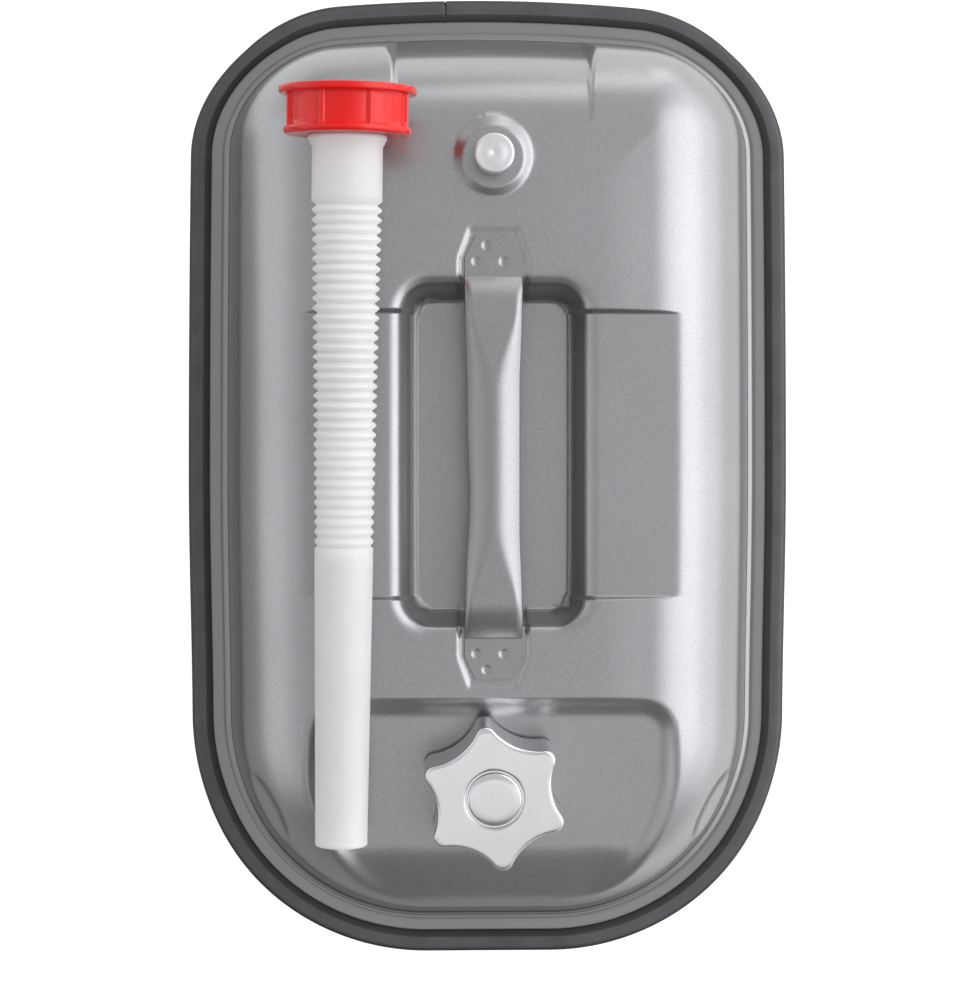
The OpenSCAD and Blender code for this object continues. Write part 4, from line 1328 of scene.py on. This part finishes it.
class FUELCAN_OT_stage(bpy.types.Operator):
    """Sets the camera, the floor and the soft light"""

    bl_idname = "fuel_can.stage"
    bl_label = "Stage"

    def execute(self, context):
        scene = context.scene
        s = scene.can_stage
        scene.view_settings.view_transform = "Standard"
        lens = bpy.data.cameras.new("photo_camera")
        lens.lens = s.lens
        lens.sensor_width = 36
        scene.camera = self.aim(lens, s.camera, s.target)
        self.lay_floor(s)
        scene.world = bpy.data.worlds.new("studio")
        self.paint_sky(scene.world, s)
        # Each light's name, power, place, width and height
        for name, power, place, width, height in (
            ("key_light", s.key, (0.95, 0.25, 1.05), 1.0, 1.6),
            ("left_light", s.left, (-1.2, 0, 0.4), 0.8, 1.6),
            ("top_light", s.top, (0.3, 1.3, 0.32), 1.2, 0.3),
            ("over_light", s.over, (0, -0.85, 1.7), 0.9, 0.45),
        ):
            lamp = bpy.data.lights.new(name, "AREA")
            lamp.shape = "RECTANGLE"
            lamp.size = width
            lamp.size_y = height
            lamp.energy = power
            self.aim(lamp, place, (0, 0, 0.1))
        return {"FINISHED"}

    def aim(self, data, place, target):
        """Puts a camera or a light at a place, turned to a point with the vent end up."""
        back = (Vector(place) - Vector(target)).normalized()
        right = Vector((0, 1, 0)).cross(back).normalized()
        thing = new_object(data)
        thing.matrix_world = standing(place, right, back)
        return thing

    def paint_sky(self, world, s):
        """Surroundings that are brighter at the sides, and plain white as a background."""
        world.use_nodes = True
        graph = Graph(world.node_tree)
        x = graph.part(graph.node("TexCoord", output="Generated"), 0)
        right = graph.ramp(x, 0.05, 0.75, 1, 1 + s.sky_right, "SMOOTHSTEP")
        left = graph.ramp(x, -0.3, -0.95, 0, s.sky_left, "SMOOTHSTEP")
        dark = graph.ramp(x.sibling(1), -0.62, -0.3, s.sky_dark, 1, "SMOOTHSTEP")
        sky = graph.tree.nodes["Background"]
        graph.plug(sky.inputs["Color"], s.sky)
        graph.plug(sky.inputs["Strength"], (right + left) * dark)
        white = graph.node("Background", None, {"Color": (1, 1, 1, 1)})
        camera = graph.node("LightPath", output="Is Camera Ray")
        seen = camera + camera.sibling("Is Transmission Ray")
        shown = graph.node("MixShader", None, {0: seen, 1: Value(graph, sky.outputs[0]), 2: white})
        graph.plug(graph.tree.nodes["World Output"].inputs["Surface"], shown)

    def lay_floor(self, s):
        """A pale floor that shows white to the camera and keeps the shadow."""
        mesh = bpy.data.meshes.new("studio_floor")
        side = 6
        corners = [(-side, -side, 0), (side, -side, 0), (side, side, 0), (-side, side, 0)]
        mesh.from_pydata(corners, [], [(0, 1, 2, 3)])
        floor = new_object(mesh)
        floor.location.z = CAD_BOX[0].z - 0.0002
        finish = Finish("floor_paint", Base_Color=s.floor, Roughness=0.9)
        x = finish.part(finish.place, 0)
        right = finish.ramp(x, 0.1, 0.3, 0, s.floor_side)
        far = finish.ramp(x.sibling(1), 0.22, 0.33, 0, s.floor_far)
        camera = finish.node("LightPath", output="Is Camera Ray")
        mirrored = camera.sibling("Is Glossy Ray") * right.math("MAXIMUM", right, far)
        strength = (camera + camera.sibling("Is Transmission Ray") + mirrored) * s.floor_white
        glow = finish.node("Emission", None, {"Color": (1, 1, 1, 1), "Strength": strength})
        paint = Value(finish, finish.shader.outputs[0])
        both_shaders = finish.node("AddShader", None, {0: paint, 1: glow})
        finish.plug(finish.tree.nodes["Material Output"].inputs["Surface"], both_shaders)
        mesh.materials.append(finish.material)


OPERATORS = (
    FUELCAN_OT_finishes,
    FUELCAN_OT_small_parts,
    FUELCAN_OT_stage,
    FUELCAN_OT_pressings,
    FUELCAN_OT_trim,
    FUELCAN_OT_handle,
    FUELCAN_OT_cap,
    FUELCAN_OT_vent,
    FUELCAN_OT_collar,
    FUELCAN_OT_spout,
)


class FUELCAN_PT_sidebar(bpy.types.Panel):
    """Lists the pieces and their sizes"""

    bl_label = "Fuel Can"
    bl_idname = "FUELCAN_PT_sidebar"
    bl_space_type = "VIEW_3D"
    bl_region_type = "UI"
    bl_category = "Fuel Can"

    def draw(self, context):
        for operator in OPERATORS:
            self.layout.operator(operator.bl_idname)
        for name, group in GROUPS.items():
            box = self.layout.box()
            box.label(text=group.__doc__)
            settings = getattr(context.scene, name)
            for prop in group.__annotations__:
                box.prop(settings, prop)


def register():
    """Registers the settings, the operators and the panel."""
    for name, group in GROUPS.items():
        bpy.utils.register_class(group)
        setattr(bpy.types.Scene, name, bpy.props.PointerProperty(type=group))
    for operator in OPERATORS:
        bpy.utils.register_class(operator)
    bpy.utils.register_class(FUELCAN_PT_sidebar)


def unregister():
    """Takes away what register added."""
    bpy.utils.unregister_class(FUELCAN_PT_sidebar)
    for operator in reversed(OPERATORS):
        bpy.utils.unregister_class(operator)
    for name, group in reversed(GROUPS.items()):
        delattr(bpy.types.Scene, name)
        bpy.utils.unregister_class(group)


def main():
    """Builds every piece."""
    register()
    for operator in OPERATORS:
        getattr(bpy.ops.fuel_can, operator.bl_idname.partition(".")[2])()


if __name__ == "__main__":
    main()
